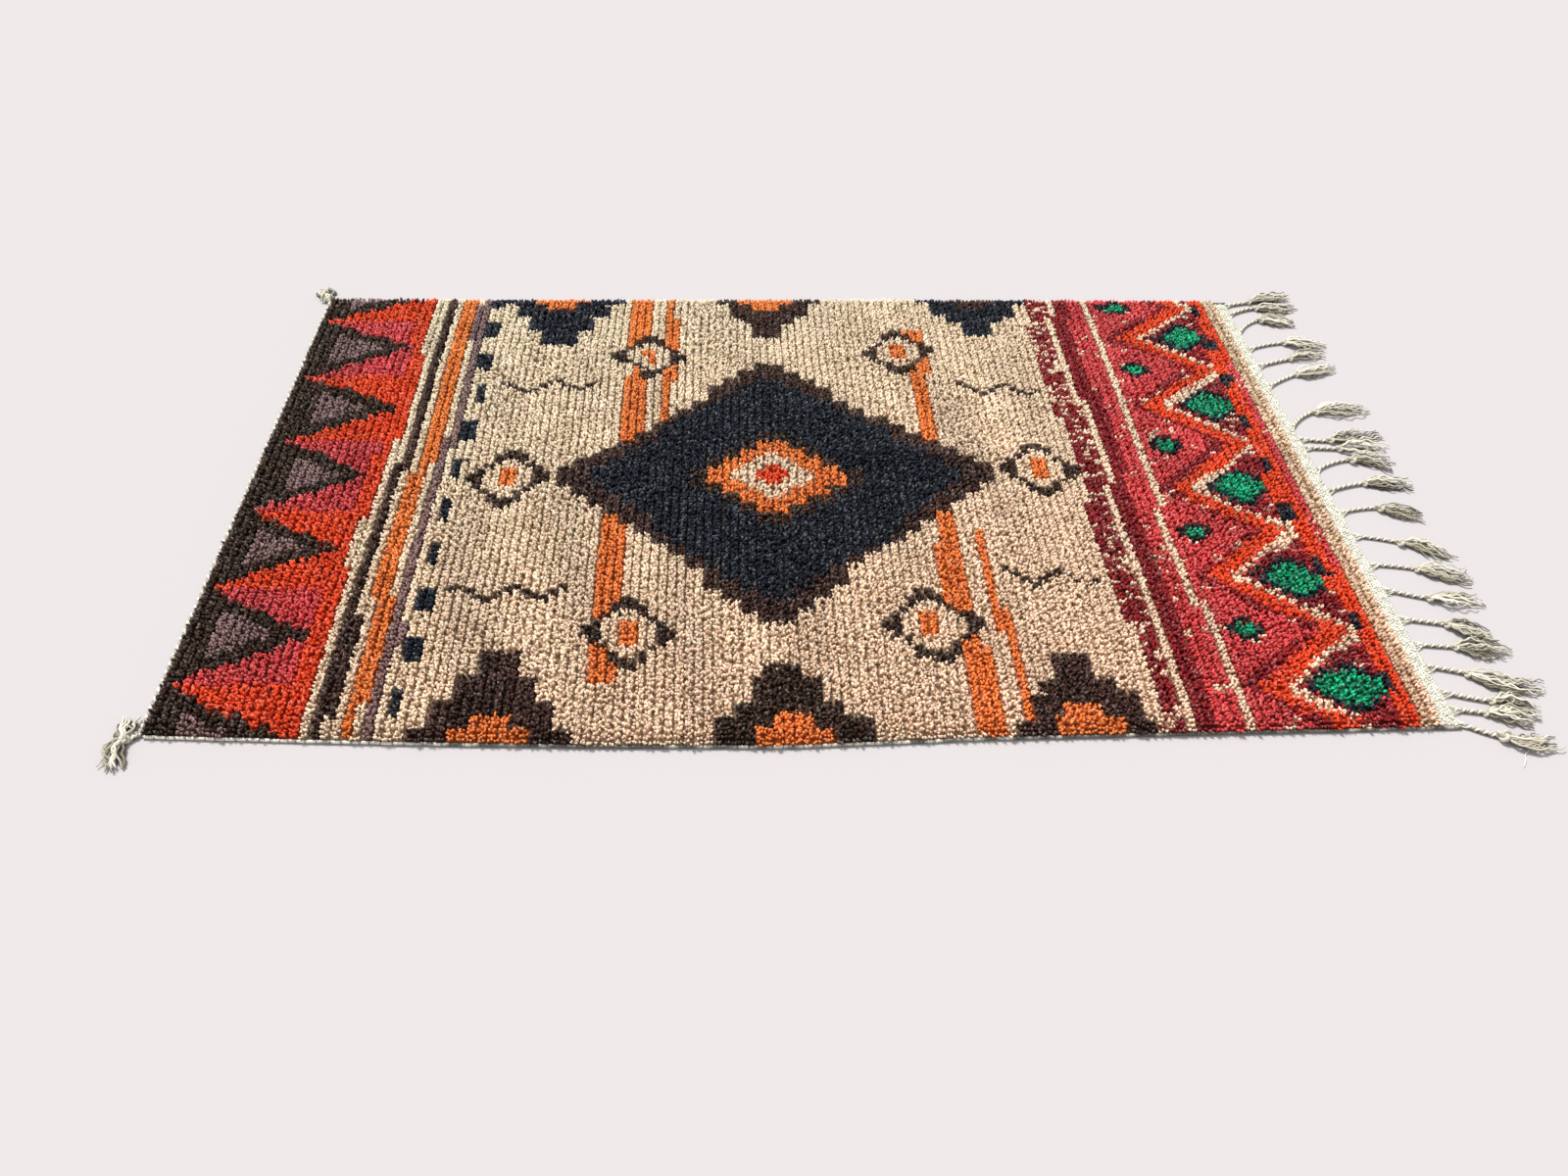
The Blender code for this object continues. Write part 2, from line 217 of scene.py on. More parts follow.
# The cloth is painted darker than the wefts on it, as painted shade between them
BAND_SHADE_TONE = 0.84
BAND_TONE_DRIFT = Drift(0.08, 54, 0.03)
PUCKER = 0.0010
PUCKER_DRIFT = Drift(1.0, 52, 0.045)
WEFT_LINES = 5
WEFTS_A_LINE = 220
WEFT_INSET = 0.0030
WEFT_SPAN = KILIM_WIDTH - 0.0065
WEFT_STAGGER = 0.35
WEFT_SLANT = 0.55
WEFT_HALF_LENGTH = 0.0040
WEFT_RADIUS = 0.0025
WEFT_HEIGHT = 0.0044
WEFT_RISE = Drift(0.0008, 56, 0.02)
WEFT_TONE = 0.96
WEFT_TONE_DRIFT = Drift(0.10, 57, 0.04)
WeftRing = namedtuple("WeftRing", "along size lift")
WEFT_RINGS = (
    WeftRing(-1.0, 0.45, -0.0012),
    WeftRing(-0.45, 1.0, 0.0),
    WeftRing(0.45, 1.0, 0.0),
    WeftRing(1.0, 0.45, -0.0012),
)
GATHERED_WARPS = 6
GATHER_RINGS = 6
GATHER_RADIUS = 0.0013
GATHER_HALF_WIDTH = 0.013
GATHER_LENGTH = (0.014, 0.020)
GATHER_START = 0.004
GATHER_END_HEIGHT = 0.0055

# Fringe, from the far corner to the near one. Headings are in degrees from +X towards +Y.
FringeCord = namedtuple("FringeCord", "root_y cord_heading cord_length tassel_heading tassel_length knot")
FRINGE = (
    FringeCord(0.735, 14, 0.060, 12, 0.115, 0.9),
    FringeCord(0.690, 25, 0.075, -8, 0.105, 0.9),
    FringeCord(0.605, 44, 0.083, -7, 0.080, 1.2),
    FringeCord(0.524, 18, 0.095, -6, 0.098, 1.0),
    FringeCord(0.446, 20, 0.085, 12, 0.093, 0.9),
    FringeCord(0.359, 32, 0.084, 16, 0.110, 0.8),
    FringeCord(0.190, 42, 0.085, 0, 0.130, 1.0),
    FringeCord(0.140, -8, 0.062, 12, 0.125, 1.1),
    FringeCord(0.105, -3, 0.072, -4, 0.105, 1.0),
    FringeCord(0.022, 25, 0.093, -13, 0.085, 1.2),
    FringeCord(-0.054, 18, 0.085, 0, 0.103, 0.9),
    FringeCord(-0.130, 12, 0.086, -15, 0.087, 1.2),
    FringeCord(-0.208, -12, 0.088, -27, 0.100, 1.1),
    FringeCord(-0.300, -7, 0.087, -20, 0.100, 0.9),
    FringeCord(-0.376, -18, 0.080, -10, 0.102, 1.1),
    FringeCord(-0.462, -10, 0.081, -12, 0.094, 1.1),
    FringeCord(-0.533, -6, 0.070, -5, 0.105, 0.9),
    FringeCord(-0.593, -14, 0.064, -22, 0.140, 1.0),
    FringeCord(-0.659, -16, 0.081, -6, 0.075, 1.0),
    FringeCord(-0.703, -8, 0.052, -12, 0.090, 0.8),
    FringeCord(-0.737, -28, 0.067, -10, 0.090, 1.4),
)
CORD_BEND = 0.4
CORD_STEPS = 7
CornerTassel = namedtuple(
    "CornerTassel",
    "leaving_heading cord_heading tassel_heading cord_length tassel_length knot stray_heading stray_length",
)
NEAR_CORNER = CornerTassel(-90, -180, -84, 0.022, 0.060, 1.1, 108, 0.068)
FAR_CORNER = CornerTassel(90, 112, 112, 0.018, 0.040, 0.9, -112, 0.028)
STRAY_WIDTH = 0.012
CORNER_BUSHY = 1.3
Thread = namedtuple("Thread", "points radius")
CORNER_THREAD = Thread(((-1.292, -0.735, 0.003), (-1.284, -0.775, 0.0015), (-1.275, -0.815, 0.0015)), 0.0012)
FRINGE_THREAD = Thread(((1.392, -0.790, 0.003), (1.372, -0.812, 0.0012), (1.358, -0.838, 0.0012)), 0.0010)
THREAD_RINGS = 24
THREAD_WAVE = 0.0012

# Twisted cords are two plies wound round each other, each painted lighter on its upper side as painted
# light, and the second painted darker as painted shade
PLY_RADIUS = 0.0030
PLY_OFFSET = 0.0026
PLY_SIDES = 6
PLY_TONE = 0.86
SECOND_PLY_SHADE = 0.56
PLY_LIT_SIDE = 0.36
CORD_LIFT = 0.0002
CORD_RINGS = 40
CORD_SCALE = (0.72, 0.88)
FRINGE_TURN = 0.015
START_TURN = 0.022
RINGS_A_TURN = 8
START_CORD_OVERRUN = 0.004
START_CORD_SWAY = Drift(0.0004, 61, 0.05)
START_CORD_TONE = 0.92
START_CORD_DRIFT = Drift(0.10, 63, 0.08)

# Each cord runs on into its knot, and its tassel starts inside the knot
CORD_INTO_KNOT = 0.006
KNOT_AHEAD = 0.0115
TASSEL_AHEAD = 0.0160
TASSEL_EXTRA = 0.012
KNOT_HALF_LENGTH = 0.0080
KNOT_HALF_WIDTH = 0.0082
KNOT_HEIGHT = 0.0068
KNOT_RISE = 0.0030
KNOT_RADIUS = 0.0032
KNOT_TONE = 0.72
KNOT_RINGS = 42
KNOT_SIDES = 6
KNOT_LAY = 14
# Painted shade darkens the grooves of each knot's lay
KNOT_GROOVE = 0.10
KNOT_GROOVE_SHADE = 0.14

# Tassels of loose, crimped yarns that hang together in a few locks
LOCKS = 6
STRANDS = 22
STRAND_RINGS = 16
STRAND_SIDES = 4
STRAND_RADIUS = 0.0021
STRAND_RADII = (0.75, 1.25)
STRAND_LIFT = 1.3
STRAND_REACH = (0.52, 1.0)
STRAND_LENGTH = (0.9, 1.1)
CRIMP = 0.0030
CRIMP_LENGTH = 0.038
CRIMP_SIZE = (0.3, 1.5)
CRIMP_NOISE = 0.06
CRIMP_RISE = 0.40
TASSEL_WIDTH = (0.0125, 0.0190)
TASSEL_CURL = (0.10, 0.55)
TASSEL_BULGE = (0.55, 0.95)
LOCK_PLACE = (-0.9, 0.9)
LOCK_LAYER = (0.05, 0.95)
PLACE_NOISE = 0.15
LAYER_NOISE = 0.20
TIP_NOISE = 0.0080
Profile = namedtuple("Profile", "start bulge tip")
TASSEL_SPREAD = Profile(0.0045, 0.75, 0.80)
TASSEL_HEIGHT = Profile(0.0085, 0.0060, -0.0055)
# Painted shade: strands lower in the tassel are painted darker, as in the shade of those above, and each
# strand is painted darker at its root than at its tip
UNDER_SHADE_TONE = 0.10
LAYER_LIGHT = 0.96
LAYER_LIGHT_POWER = 1.25
STRAND_NOISE = 0.12
ROOT_SHADE_TONE = 0.86
TIP_LIGHT = 0.16

# The photograph's camera, as found from the rug's corners, and a studio like its light
SENSOR_WIDTH = 36.0
CAMERA_LENS = 27.02
CAMERA_PLACE = (-0.1175, -2.1082, 1.7966)
CAMERA_TURNS = ((-2.901, "Z"), (44.329, "X"), (1.822, "Z"))
SKY = {"Color": (1.0, 0.98, 0.97, 1.0), "Strength": 0.66}
SUN_COLOUR = (1.0, 0.970, 0.930)
SUN_ENERGY = 4.5
SUN_DEGREES = 16
SUN_DIRECTION = (0.45, -0.58, -1.0)
FLOOR_SIZE = 40.0
FLOOR_HEIGHT = -0.0004
FLOOR_SHADER = {"Base Color": (0.480, 0.466, 0.482, 1.0), "Roughness": 1.0, "Specular IOR Level": 0.0}

MAP_NAME = "OFBake"
YARN_COLOUR = "Yarn"


def linear(red, green, blue):
    """Linear light of a screen colour whose channels run from 0 to 255."""
    channels = np.array((red, green, blue)) / 255
    return np.where(channels <= 0.04045, channels / 12.92, ((channels + 0.055) / 1.055) ** 2.4)


YARNS = {
    "cream": linear(237, 217, 193),
    "beige": linear(208, 187, 160),
    "charcoal": linear(29, 36, 50),
    "brown_black": linear(64, 46, 37),
    "brown": linear(72, 49, 43),
    "mauve": linear(138, 110, 111),
    "red_orange": linear(226, 77, 35),
    "ochre": linear(232, 134, 66),
    "rose": linear(208, 75, 79),
    "dark_red": linear(140, 32, 40),
    "green": linear(2, 156, 114),
    "black": linear(34, 32, 34),
}
YARN_NAMES = list(YARNS)
WARP_WHITE = linear(230, 230, 219)
FRINGE_CREAM = linear(243, 240, 228)
CORD_CREAM = linear(232, 228, 216)
SELVEDGE_CREAM = linear(240, 236, 224)
SHADE_TINT = (1.00, 0.94, 0.76)


# Where things lie

def lie(x, y, z):
    """Where points of the straight rectangle lie on the real rug."""
    x, y, z = np.broadcast_arrays(x, y, z)
    towards_fringe = (x + HALF_LENGTH) / RUG_LENGTH
    towards_far = (y + HALF_WIDTH) / RUG_WIDTH
    near = np.interp(x, *zip(*NEAR_EDGE))
    far = np.interp(x, *zip(*FAR_EDGE))
    shift_x = FRINGE_END_SKEW * towards_fringe * (1 - towards_far)
    shift_y = far * towards_far - near * (1 - towards_far)
    return np.stack([x + shift_x, y + shift_y, z], -1)


def swell_height(x, y):
    height = 0.0
    for swell in SWELLS:
        along = (x - swell.x) / swell.half_length
        across = (y - swell.y) / swell.half_width
        height = height + swell.height * np.exp(-(along**4) - across**2)
    return height


def rib_sway(x, y):
    fade = np.minimum(1.0, np.minimum(x - PILE_START, PILE_END - x) / RIB_SWAY_FADE)
    sine = np.sin(SWAY_SINE.along * x + SWAY_SINE.across * y)
    cosine = np.cos(SWAY_COSINE.along * x + SWAY_COSINE.across * y)
    return RIB_SWAY * fade * sine * cosine


def drift(x, y, field, seed_shift=0):
    """A smooth field that wanders between about minus and plus the amount of a Drift."""
    rng = default_rng(field.seed + seed_shift)
    total = 0.0
    for _ in range(DRIFT_WAVES):
        way = rng.uniform(0, TURN)
        pace = TURN / field.wave * rng.uniform(0.6, 1.5)
        start = rng.uniform(0, TURN)
        total = total + np.sin(pace * (x * math.cos(way) + y * math.sin(way)) + start)
    return field.amount * (total / DRIFT_PEAK)


# The design, charted on the grid of knots: a generic one of lozenges, bars and zigzags. Its rows are
# counted from the start cord, and its places and widths across the rug are in metres.

Bar = namedtuple("Bar", "first_row rows yarn from_y to_y", defaults=(-1.0, 1.0))
Lozenge = namedtuple("Lozenge", "half_rows half_across yarn")
Step = namedtuple("Step", "rows across")
COARSE = Step(2, 0.032)
FINE = Step(1, 0.016)
ROW_DRIFT = Drift(0.9, 5, 0.9)
PLACE_DRIFT = Drift(0.010, 6, 0.7)

# Start end: a row of teeth, then narrow bars
TEETH_ROWS = 14
TOOTH_WIDTH = 0.250
TOOTH_STEP = 0.06
TOOTH_REACH = 13.0
TOOTH_FOOT = 2.5
TOOTH_OUTLINE = 4.0
START_BARS = (
    Bar(12.5, 2, "red_orange"),
    Bar(14.5, 10, "cream"),
    Bar(16, 1.2, "brown"),
    Bar(18.3, 2, "ochre"),
    Bar(21, 1.2, "mauve"),
)
START_DASHES = Bar(22.8, 1.6, "charcoal")
START_DASH = 0.07

# Field: bars that pass behind a large stepped lozenge, with half lozenges on the long sides
FIELD_BARS = (
    Bar(42, 3, "ochre", -0.60),
    Bar(47, 1.4, "ochre", 0.10),
    Bar(80, 2.6, "ochre", -1.0, 0.58),
    Bar(84.6, 1.2, "ochre", -1.0, -0.20),
)
SideLozenge = namedtuple("SideLozenge", "row side outer inner_yarn")
SIDE_LOZENGES = (
    SideLozenge(33, 1, Lozenge(8.5, 0.24, "charcoal"), "ochre"),
    SideLozenge(62, 1, Lozenge(9.0, 0.20, "brown"), "ochre"),
    SideLozenge(91, 1, Lozenge(8.0, 0.22, "charcoal"), "brown"),
    SideLozenge(33, -1, Lozenge(8.5, 0.24, "brown"), "ochre"),
    SideLozenge(62, -1, Lozenge(9.0, 0.22, "brown_black"), "ochre"),
    SideLozenge(91, -1, Lozenge(8.0, 0.22, "brown"), "ochre"),
)
INNER_SHARE = 0.45
MIDDLE_ROW = 62
MIDDLE_OUTER = (
    Lozenge(27, 0.455, "brown"),
    Lozenge(23.5, 0.395, "charcoal"),
    Lozenge(11, 0.180, "brown_black"),
    Lozenge(8.5, 0.140, "ochre"),
)
MIDDLE_INNER = (Lozenge(5.0, 0.085, "cream"), Lozenge(2.4, 0.040, "red_orange"))

# Small lozenges in outline and zigzag lines in the corners of the field
SMALL_PLACES = ((30, 0.0), (94, 0.02), (45, 0.47), (79, 0.49), (46, -0.47), (78, -0.46))
SMALL_LOZENGES = (
    Lozenge(5.4, 0.100, "brown_black"),
    Lozenge(3.9, 0.070, "cream"),
    Lozenge(1.9, 0.035, "ochre"),
)
Zigzag = namedtuple("Zigzag", "first_row last_row y")
ZIGZAGS = (Zigzag(26, 39, 0.34), Zigzag(26, 39, -0.36), Zigzag(86, 98, 0.33), Zigzag(86, 98, -0.34))
ZIGZAG_ROWS = 6.0
ZIGZAG_SWING = 0.045
ZIGZAG_HALF_LINE = 0.0075

# Fringed end: mottled bars, then a wide zigzag with small lozenges in its valleys
FRINGED_ROW = 99
FRINGED_BARS = (
    Bar(99, 3, "dark_red"),
    Bar(102, 1, "cream"),
    Bar(103, 2, "dark_red"),
    Bar(107.5, 1, "cream"),
)
WAVE_LENGTH = 0.30
WAVE_SHIFT = 0.15
WAVE_STEP = 0.053
WAVE_FOOT = 109.5
WAVE_RISE = 9.5
WAVE_END = 124
WaveBand = namedtuple("WaveBand", "above below yarn")
WAVE_BANDS = (
    WaveBand(-1.0, math.inf, "dark_red"),
    WaveBand(0.6, 3.4, "red_orange"),
    WaveBand(3.4, 4.6, "cream"),
)
VALLEY_ROW = 119.5
VALLEY_LOZENGES = (Lozenge(4.6, 0.078, "charcoal"), Lozenge(3.0, 0.050, "green"))
PEAK_ROW = 111.6
PEAK_LOZENGES = (Lozenge(2.8, 0.046, "black"), Lozenge(1.5, 0.026, "green"))
END_BAR = Bar(122.6, 2.2, "red_orange")
END_DASHES = Bar(122.6, 1.2, "charcoal")
END_DASH = 0.055
LAST_ROWS = 2

# Stray knots of a neighbouring colour, most of them in the mottled bars
MOTTLED_END = 102
MOTTLED_CREAM = 0.27
REDS_ROW = 105
STRAY_CREAM = 0.04
STRAY_ROSE = 0.10
STRAY_BEIGE = 0.06
LAST_CREAM = 0.45


def row_place(row):
    return PILE_START + (PILE_END - PILE_START) * (2 * row + 1) / (2 * PILE_ROWS)


def knot_place(knot):
    return PILE_FOOT * ((2 * knot + 1) / KNOTS - 1)


def stepped(value, step):
    """Moves values to the middle of their step, as a weaver counts rows and knots."""
    return (np.floor(value / step) + 0.5) * step


def in_lozenge(row, y, centre_row, centre_y, lozenge, step):
    """Whether knots are in a lozenge with stepped sides."""
    along = np.abs(stepped(row - centre_row, step.rows)) / lozenge.half_rows
    across = np.abs(stepped(y - centre_y, step.across)) / lozenge.half_across
    return along + across <= 1.0


def in_bar(row, y, bar):
    return (row >= bar.first_row) & (row < bar.first_row + bar.rows) & (y >= bar.from_y) & (y < bar.to_y)


def saw(value):
    """Runs from 0 to 1 and back to 0 as value goes up by 1."""
    return 1 - np.abs(2 * (value - np.floor(value)) - 1)


def chart_design():
    """The number of each knot's yarn, in the order of YARN_NAMES."""
    rng = default_rng(41)
    row, knot = np.indices((PILE_ROWS, KNOTS))
    y = knot_place(knot)
    x = row_place(row)
    row = row + drift(x, y, ROW_DRIFT)
    y = y + drift(x, y, PLACE_DRIFT)
    chart = np.full(row.shape, YARN_NAMES.index("cream"))

    def paint(mask, yarn):
        chart[mask] = YARN_NAMES.index(yarn)

    def paint_bars(bars, mask=True):
        for bar in bars:
            paint(in_bar(row, y, bar) & mask, bar.yarn)

    def paint_nest(centre_row, centre_y, nest, step=FINE):
        for lozenge in nest:
            paint(in_lozenge(row, y, centre_row, centre_y, lozenge, step), lozenge.yarn)

    is_teeth = row < TEETH_ROWS
    paint(is_teeth, "rose")
    tooth = y / TOOTH_WIDTH + 0.5
    paint(is_teeth & (np.floor(tooth) % 2 == 1), "red_orange")
    reach = TOOTH_REACH * saw(stepped(tooth, TOOTH_STEP))
    paint(row < reach, "brown_black")
    paint((row > TOOTH_FOOT) & (row < reach - TOOTH_OUTLINE), "mauve")
    paint_bars(START_BARS)
    paint_bars([START_DASHES], np.floor(y / START_DASH) % 2 == 0)

    paint_bars(FIELD_BARS)
    for place in SIDE_LOZENGES:
        outer = place.outer
        inner = Lozenge(INNER_SHARE * outer.half_rows, INNER_SHARE * outer.half_across, place.inner_yarn)
        paint_nest(place.row, place.side * HALF_WIDTH, (outer, inner), COARSE)
    paint_nest(MIDDLE_ROW, 0.0, MIDDLE_OUTER, COARSE)
    paint_nest(MIDDLE_ROW, 0.0, MIDDLE_INNER)
    for centre_row, centre_y in SMALL_PLACES:
        paint_nest(centre_row, centre_y, SMALL_LOZENGES)
    for zigzag in ZIGZAGS:
        line = zigzag.y + ZIGZAG_SWING * (saw(row / ZIGZAG_ROWS) - 0.5)
        is_line = np.abs(y - line) < ZIGZAG_HALF_LINE
        paint((row >= zigzag.first_row) & (row < zigzag.last_row) & is_line, "brown_black")

    paint(row >= FRINGED_ROW, "rose")
    paint_bars(FRINGED_BARS)
    crest = WAVE_FOOT + WAVE_RISE * saw(stepped(y / WAVE_LENGTH + WAVE_SHIFT, WAVE_STEP))
    for band in WAVE_BANDS:
        paint((row > crest + band.above) & (row < crest + band.below) & (row < WAVE_END), band.yarn)
    for number in range(-3, 4):
        valley = (number - WAVE_SHIFT) * WAVE_LENGTH
        paint_nest(VALLEY_ROW, valley, VALLEY_LOZENGES)
        paint_nest(PEAK_ROW, valley + WAVE_LENGTH / 2, PEAK_LOZENGES)
    paint_bars([END_BAR])
    paint_bars([END_DASHES], np.floor(y / END_DASH) % 3 == 0)

    stray = rng.random(row.shape)
    paint((row >= FRINGED_ROW) & (row < MOTTLED_END) & (stray < MOTTLED_CREAM), "cream")
    is_red = np.isin(chart, [YARN_NAMES.index("dark_red"), YARN_NAMES.index("rose")]) & (row >= REDS_ROW)
    paint(is_red & (stray < STRAY_CREAM), "cream")
    paint(is_red & (stray > 1 - STRAY_ROSE), "rose")
    is_field = (chart == YARN_NAMES.index("cream")) & (row < FRINGED_ROW)
    paint(is_field & (stray < STRAY_BEIGE), "beige")
    chart[PILE_ROWS - LAST_ROWS :] = YARN_NAMES.index("beige")
    paint((row >= PILE_ROWS - LAST_ROWS) & (stray < LAST_CREAM), "cream")
    return chart


# Meshes of many closed tubes, each with a cell of its own on the map

MAP_MARGIN = 0.02
MAP_WALL = (0.96, 0.66)
MAP_CAP_RADIUS = 0.14
MAP_FOOT = (0.22, 0.84)
MAP_TIP = (0.72, 0.84)


def unit(vectors):
    return vectors / np.maximum(np.linalg.norm(vectors, axis=-1, keepdims=True), 1e-12)


def rings_round(paths, tangents, aside, radii, angles):
    """Corners [tube, ring, side] round paths [tube, ring], counted from square to tangents and aside."""
    across = unit(np.cross(tangents, aside))
    other = np.cross(tangents, across)
    cosine = (radii * np.cos(angles))[..., None]
    sine = (radii * np.sin(angles))[..., None]
    return paths[:, :, None] + cosine * across[:, :, None] + sine * other[:, :, None]


def tube_points(paths, radii, sides, spin):
    """Corners round open paths. radii may differ from side to side."""
    tangents = unit(np.gradient(paths, axis=1))
    least = np.abs(tangents.mean(1)).argmin(1)
    angles = TURN * np.arange(sides) / sides + spin[:, None, None]
    if radii.ndim == 2:
        radii = radii[:, :, None]
    return rings_round(paths, tangents, np.eye(3)[least][:, None, :], radii, angles)


def wall_faces(first_rings, rings, sides):
    """The corners of the faces [ring, side] of a tube's wall."""
    ring, side = np.indices((first_rings, sides))
    low, high, beside = ring * sides, (ring + 1) % rings * sides, (side + 1) % sides
    return np.stack([low + side, low + beside, high + beside, high + side], -1)


def tube_faces(tubes, rings, sides, pointed):
    """The faces of each tube, as corner indices and as the number of corners of each face.

    A pointed tube's last ring is a single point, and other tubes end in a flat cap.
    """
    wall_rings = rings - 1 if pointed else rings
    wall = wall_faces(wall_rings - 1, wall_rings, sides)
    foot = np.arange(sides)[::-1]
    rim = (wall_rings - 1) * sides + np.arange(sides)
    if pointed:
        tip = np.stack([rim, np.roll(rim, -1), np.full(sides, wall_rings * sides)], -1).ravel()
        tip_counts = [3] * sides
        points = wall_rings * sides + 1
    else:
        tip = rim
        tip_counts = [sides]
        points = wall_rings * sides
    one = np.concatenate([wall.ravel(), foot, tip])
    counts = np.concatenate([np.full(wall.shape[0] * wall.shape[1], 4), [sides], tip_counts])
    start = np.arange(tubes)[:, None] * points
    return (start + one).ravel(), np.tile(counts, tubes)


def tube_map(tubes, rings, sides, pointed):
    """A map on which each tube has a cell of its own, with its wall in the lower part and its ends above."""
    wall_rings = rings - 1 if pointed else rings
    ring, side = np.indices((wall_rings - 1, sides))
    u = np.stack([side, side + 1, side + 1, side], -1) / sides
    v = np.stack([ring, ring, ring + 1, ring + 1], -1) / (wall_rings - 1)
    wall = np.stack([MAP_MARGIN + MAP_WALL[0] * u, MAP_MARGIN + MAP_WALL[1] * v], -1).reshape(-1, 2)
    turn = TURN * np.arange(sides) / sides
    circle = np.stack([np.cos(turn), np.sin(turn)], -1) * MAP_CAP_RADIUS
    foot = (circle + MAP_FOOT)[::-1]
    tip = circle + MAP_TIP
    if pointed:
        middle = np.broadcast_to(MAP_TIP, tip.shape)
        tip = np.stack([tip, np.roll(tip, -1, axis=0), middle], 1).reshape(-1, 2)
    one = np.concatenate([wall, foot, tip])
    across = math.ceil(math.sqrt(tubes))
    number = np.arange(tubes)
    cell = np.stack([number % across, number // across], -1)
    return ((cell[:, None] + one[None]) / across).reshape(-1, 2)


def new_object(name, data):
    thing = bpy.data.objects.new(name, data)
    bpy.context.scene.collection.objects.link(thing)
    return thing


def mesh_object(name, points, corners, counts, colours, places, material):
    """An object from flat arrays: points, the corners of all faces, corners a face and colours at points."""
    mesh = bpy.data.meshes.new(name)
    mesh.vertices.add(len(points))
    mesh.vertices.foreach_set("co", points.astype(np.float32).ravel())
    mesh.loops.add(len(corners))
    mesh.loops.foreach_set("vertex_index", corners.astype(np.int32))
    mesh.polygons.add(len(counts))
    starts = np.concatenate([[0], np.cumsum(counts)[:-1]])
    mesh.polygons.foreach_set("loop_start", starts.astype(np.int32))
    mesh.update(calc_edges=True)
    mesh.polygons.foreach_set("use_smooth", np.ones(len(counts), bool))
    layer = mesh.color_attributes.new(name=YARN_COLOUR, type="FLOAT_COLOR", domain="POINT")
    rgba = np.concatenate([np.clip(colours, 0, 1), np.ones((len(colours), 1))], 1)
    layer.data.foreach_set("color", rgba.astype(np.float32).ravel())
    if places is not None:
        uv = mesh.uv_layers.new(name=MAP_NAME, do_init=False)
        uv.uv.foreach_set("vector", places.astype(np.float32).ravel())
    mesh.materials.append(material)
    piece = new_object(name, mesh)
    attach(piece, "root")
    return piece


def tubes_object(name, paths, radii, colours, sides, material, spin=None, pointed=False):
    """Closed tubes along paths [tube, ring, xyz], with radii [tube, ring] and colours [tube, ring, rgb]."""
    tubes, rings = paths.shape[:2]
    if spin is None:
        spin = np.zeros(tubes)
    points = tube_points(paths, radii, sides, spin)
    shades = np.repeat(colours[:, :, None], sides, axis=2)
    if pointed:
        points = np.concatenate([points[:, :-1].reshape(tubes, -1, 3), paths[:, -1:]], 1)
        shades = np.concatenate([shades[:, :-1].reshape(tubes, -1, 3), colours[:, -1:]], 1)
    corners, counts = tube_faces(tubes, rings, sides, pointed)
    places = tube_map(tubes, rings, sides, pointed)
    return mesh_object(name, points.reshape(-1, 3), corners, counts, shades.reshape(-1, 3), places, material)


def slab_object(name, top, bottom, top_colours, bottom_colours, material):
    """A closed sheet from two grids of points [row, column, xyz]."""
    rows, columns = top.shape[:2]
    count = rows * columns
    index = np.arange(count).reshape(rows, columns)
    upper = np.stack([index[:-1, :-1], index[1:, :-1], index[1:, 1:], index[:-1, 1:]], -1).reshape(-1, 4)
    lower = upper[:, ::-1] + count
    rim = np.concatenate([index[:-1, 0], index[-1, :-1], index[:0:-1, -1], index[0, :0:-1]])
    after = np.roll(rim, -1)
    wall = np.stack([after, rim, rim + count, after + count], -1)
    corners = np.concatenate([upper, lower, wall])
    points = np.concatenate([top.reshape(-1, 3), bottom.reshape(-1, 3)])
    colours = np.concatenate([top_colours.reshape(-1, 3), bottom_colours.reshape(-1, 3)])
    counts = np.full(len(corners), 4)
    return mesh_object(name, points, corners.ravel(), counts, colours, None, material)


# Materials

Wool = namedtuple("Wool", "fibre_scale tone_depth bump patch_scale patch_amount worn")
WOOLS = {
    "pile_wool": Wool(420.0, 0.80, 0.6, 7.0, 0.16, (0.84, 0.76, 0.68, 1.0)),
    "ground_wool": Wool(320.0, 0.80, 0.8, 9.0, 0.16, (0.80, 0.74, 0.68, 1.0)),
    "flat_weave_wool": Wool(900.0, 0.35, 0.5, 22.0, 0.35, (0.86, 0.84, 0.74, 1.0)),
    "cord_wool": Wool(800.0, 0.50, 0.7, 26.0, 0.40, (0.78, 0.74, 0.62, 1.0)),
    "selvedge_wool": Wool(800.0, 0.45, 0.7, 18.0, 0.45, (0.80, 0.76, 0.66, 1.0)),
}
WOOL_SHADER = {"Sheen Weight": 0.03, "Sheen Roughness": 0.5, "Specular IOR Level": 0.14}
FIBRE_RELIEF = 0.001
COLOUR_SOCKET = "NodeSocketColor"
FLOAT_SOCKET = "NodeSocketFloat"


def set_inputs(node, values):
    for socket, value in values.items():
        node.inputs[socket].default_value = value


def add_node(tree, kind, values=None, **settings):
    """A new shader node with these settings and input values."""
    node = tree.nodes.new(kind)
    for setting, value in settings.items():
        setattr(node, setting, value)
    set_inputs(node, values or {})
    return node


def link(tree, *pairs):
    for source, target in pairs:
        tree.links.new(source, target)


def shaded_material(name, values):
    """A material and its shader, which has these input values."""
    material = bpy.data.materials.new(name)
    material.use_nodes = True
    shader = material.node_tree.nodes["Principled BSDF"]
    set_inputs(shader, values)
    return material, shader


def group_of(name, inputs, outputs):
    """An empty shader node group with these sockets, and its input and output nodes."""
    group = bpy.data.node_groups.new(name, "ShaderNodeTree")
    for socket, kind, value in inputs:
        group.interface.new_socket(name=socket, in_out="INPUT", socket_type=kind).default_value = value
    for socket, kind in outputs:
        group.interface.new_socket(name=socket, in_out="OUTPUT", socket_type=kind)
    return group, group.nodes.new("NodeGroupInput"), group.nodes.new("NodeGroupOutput")


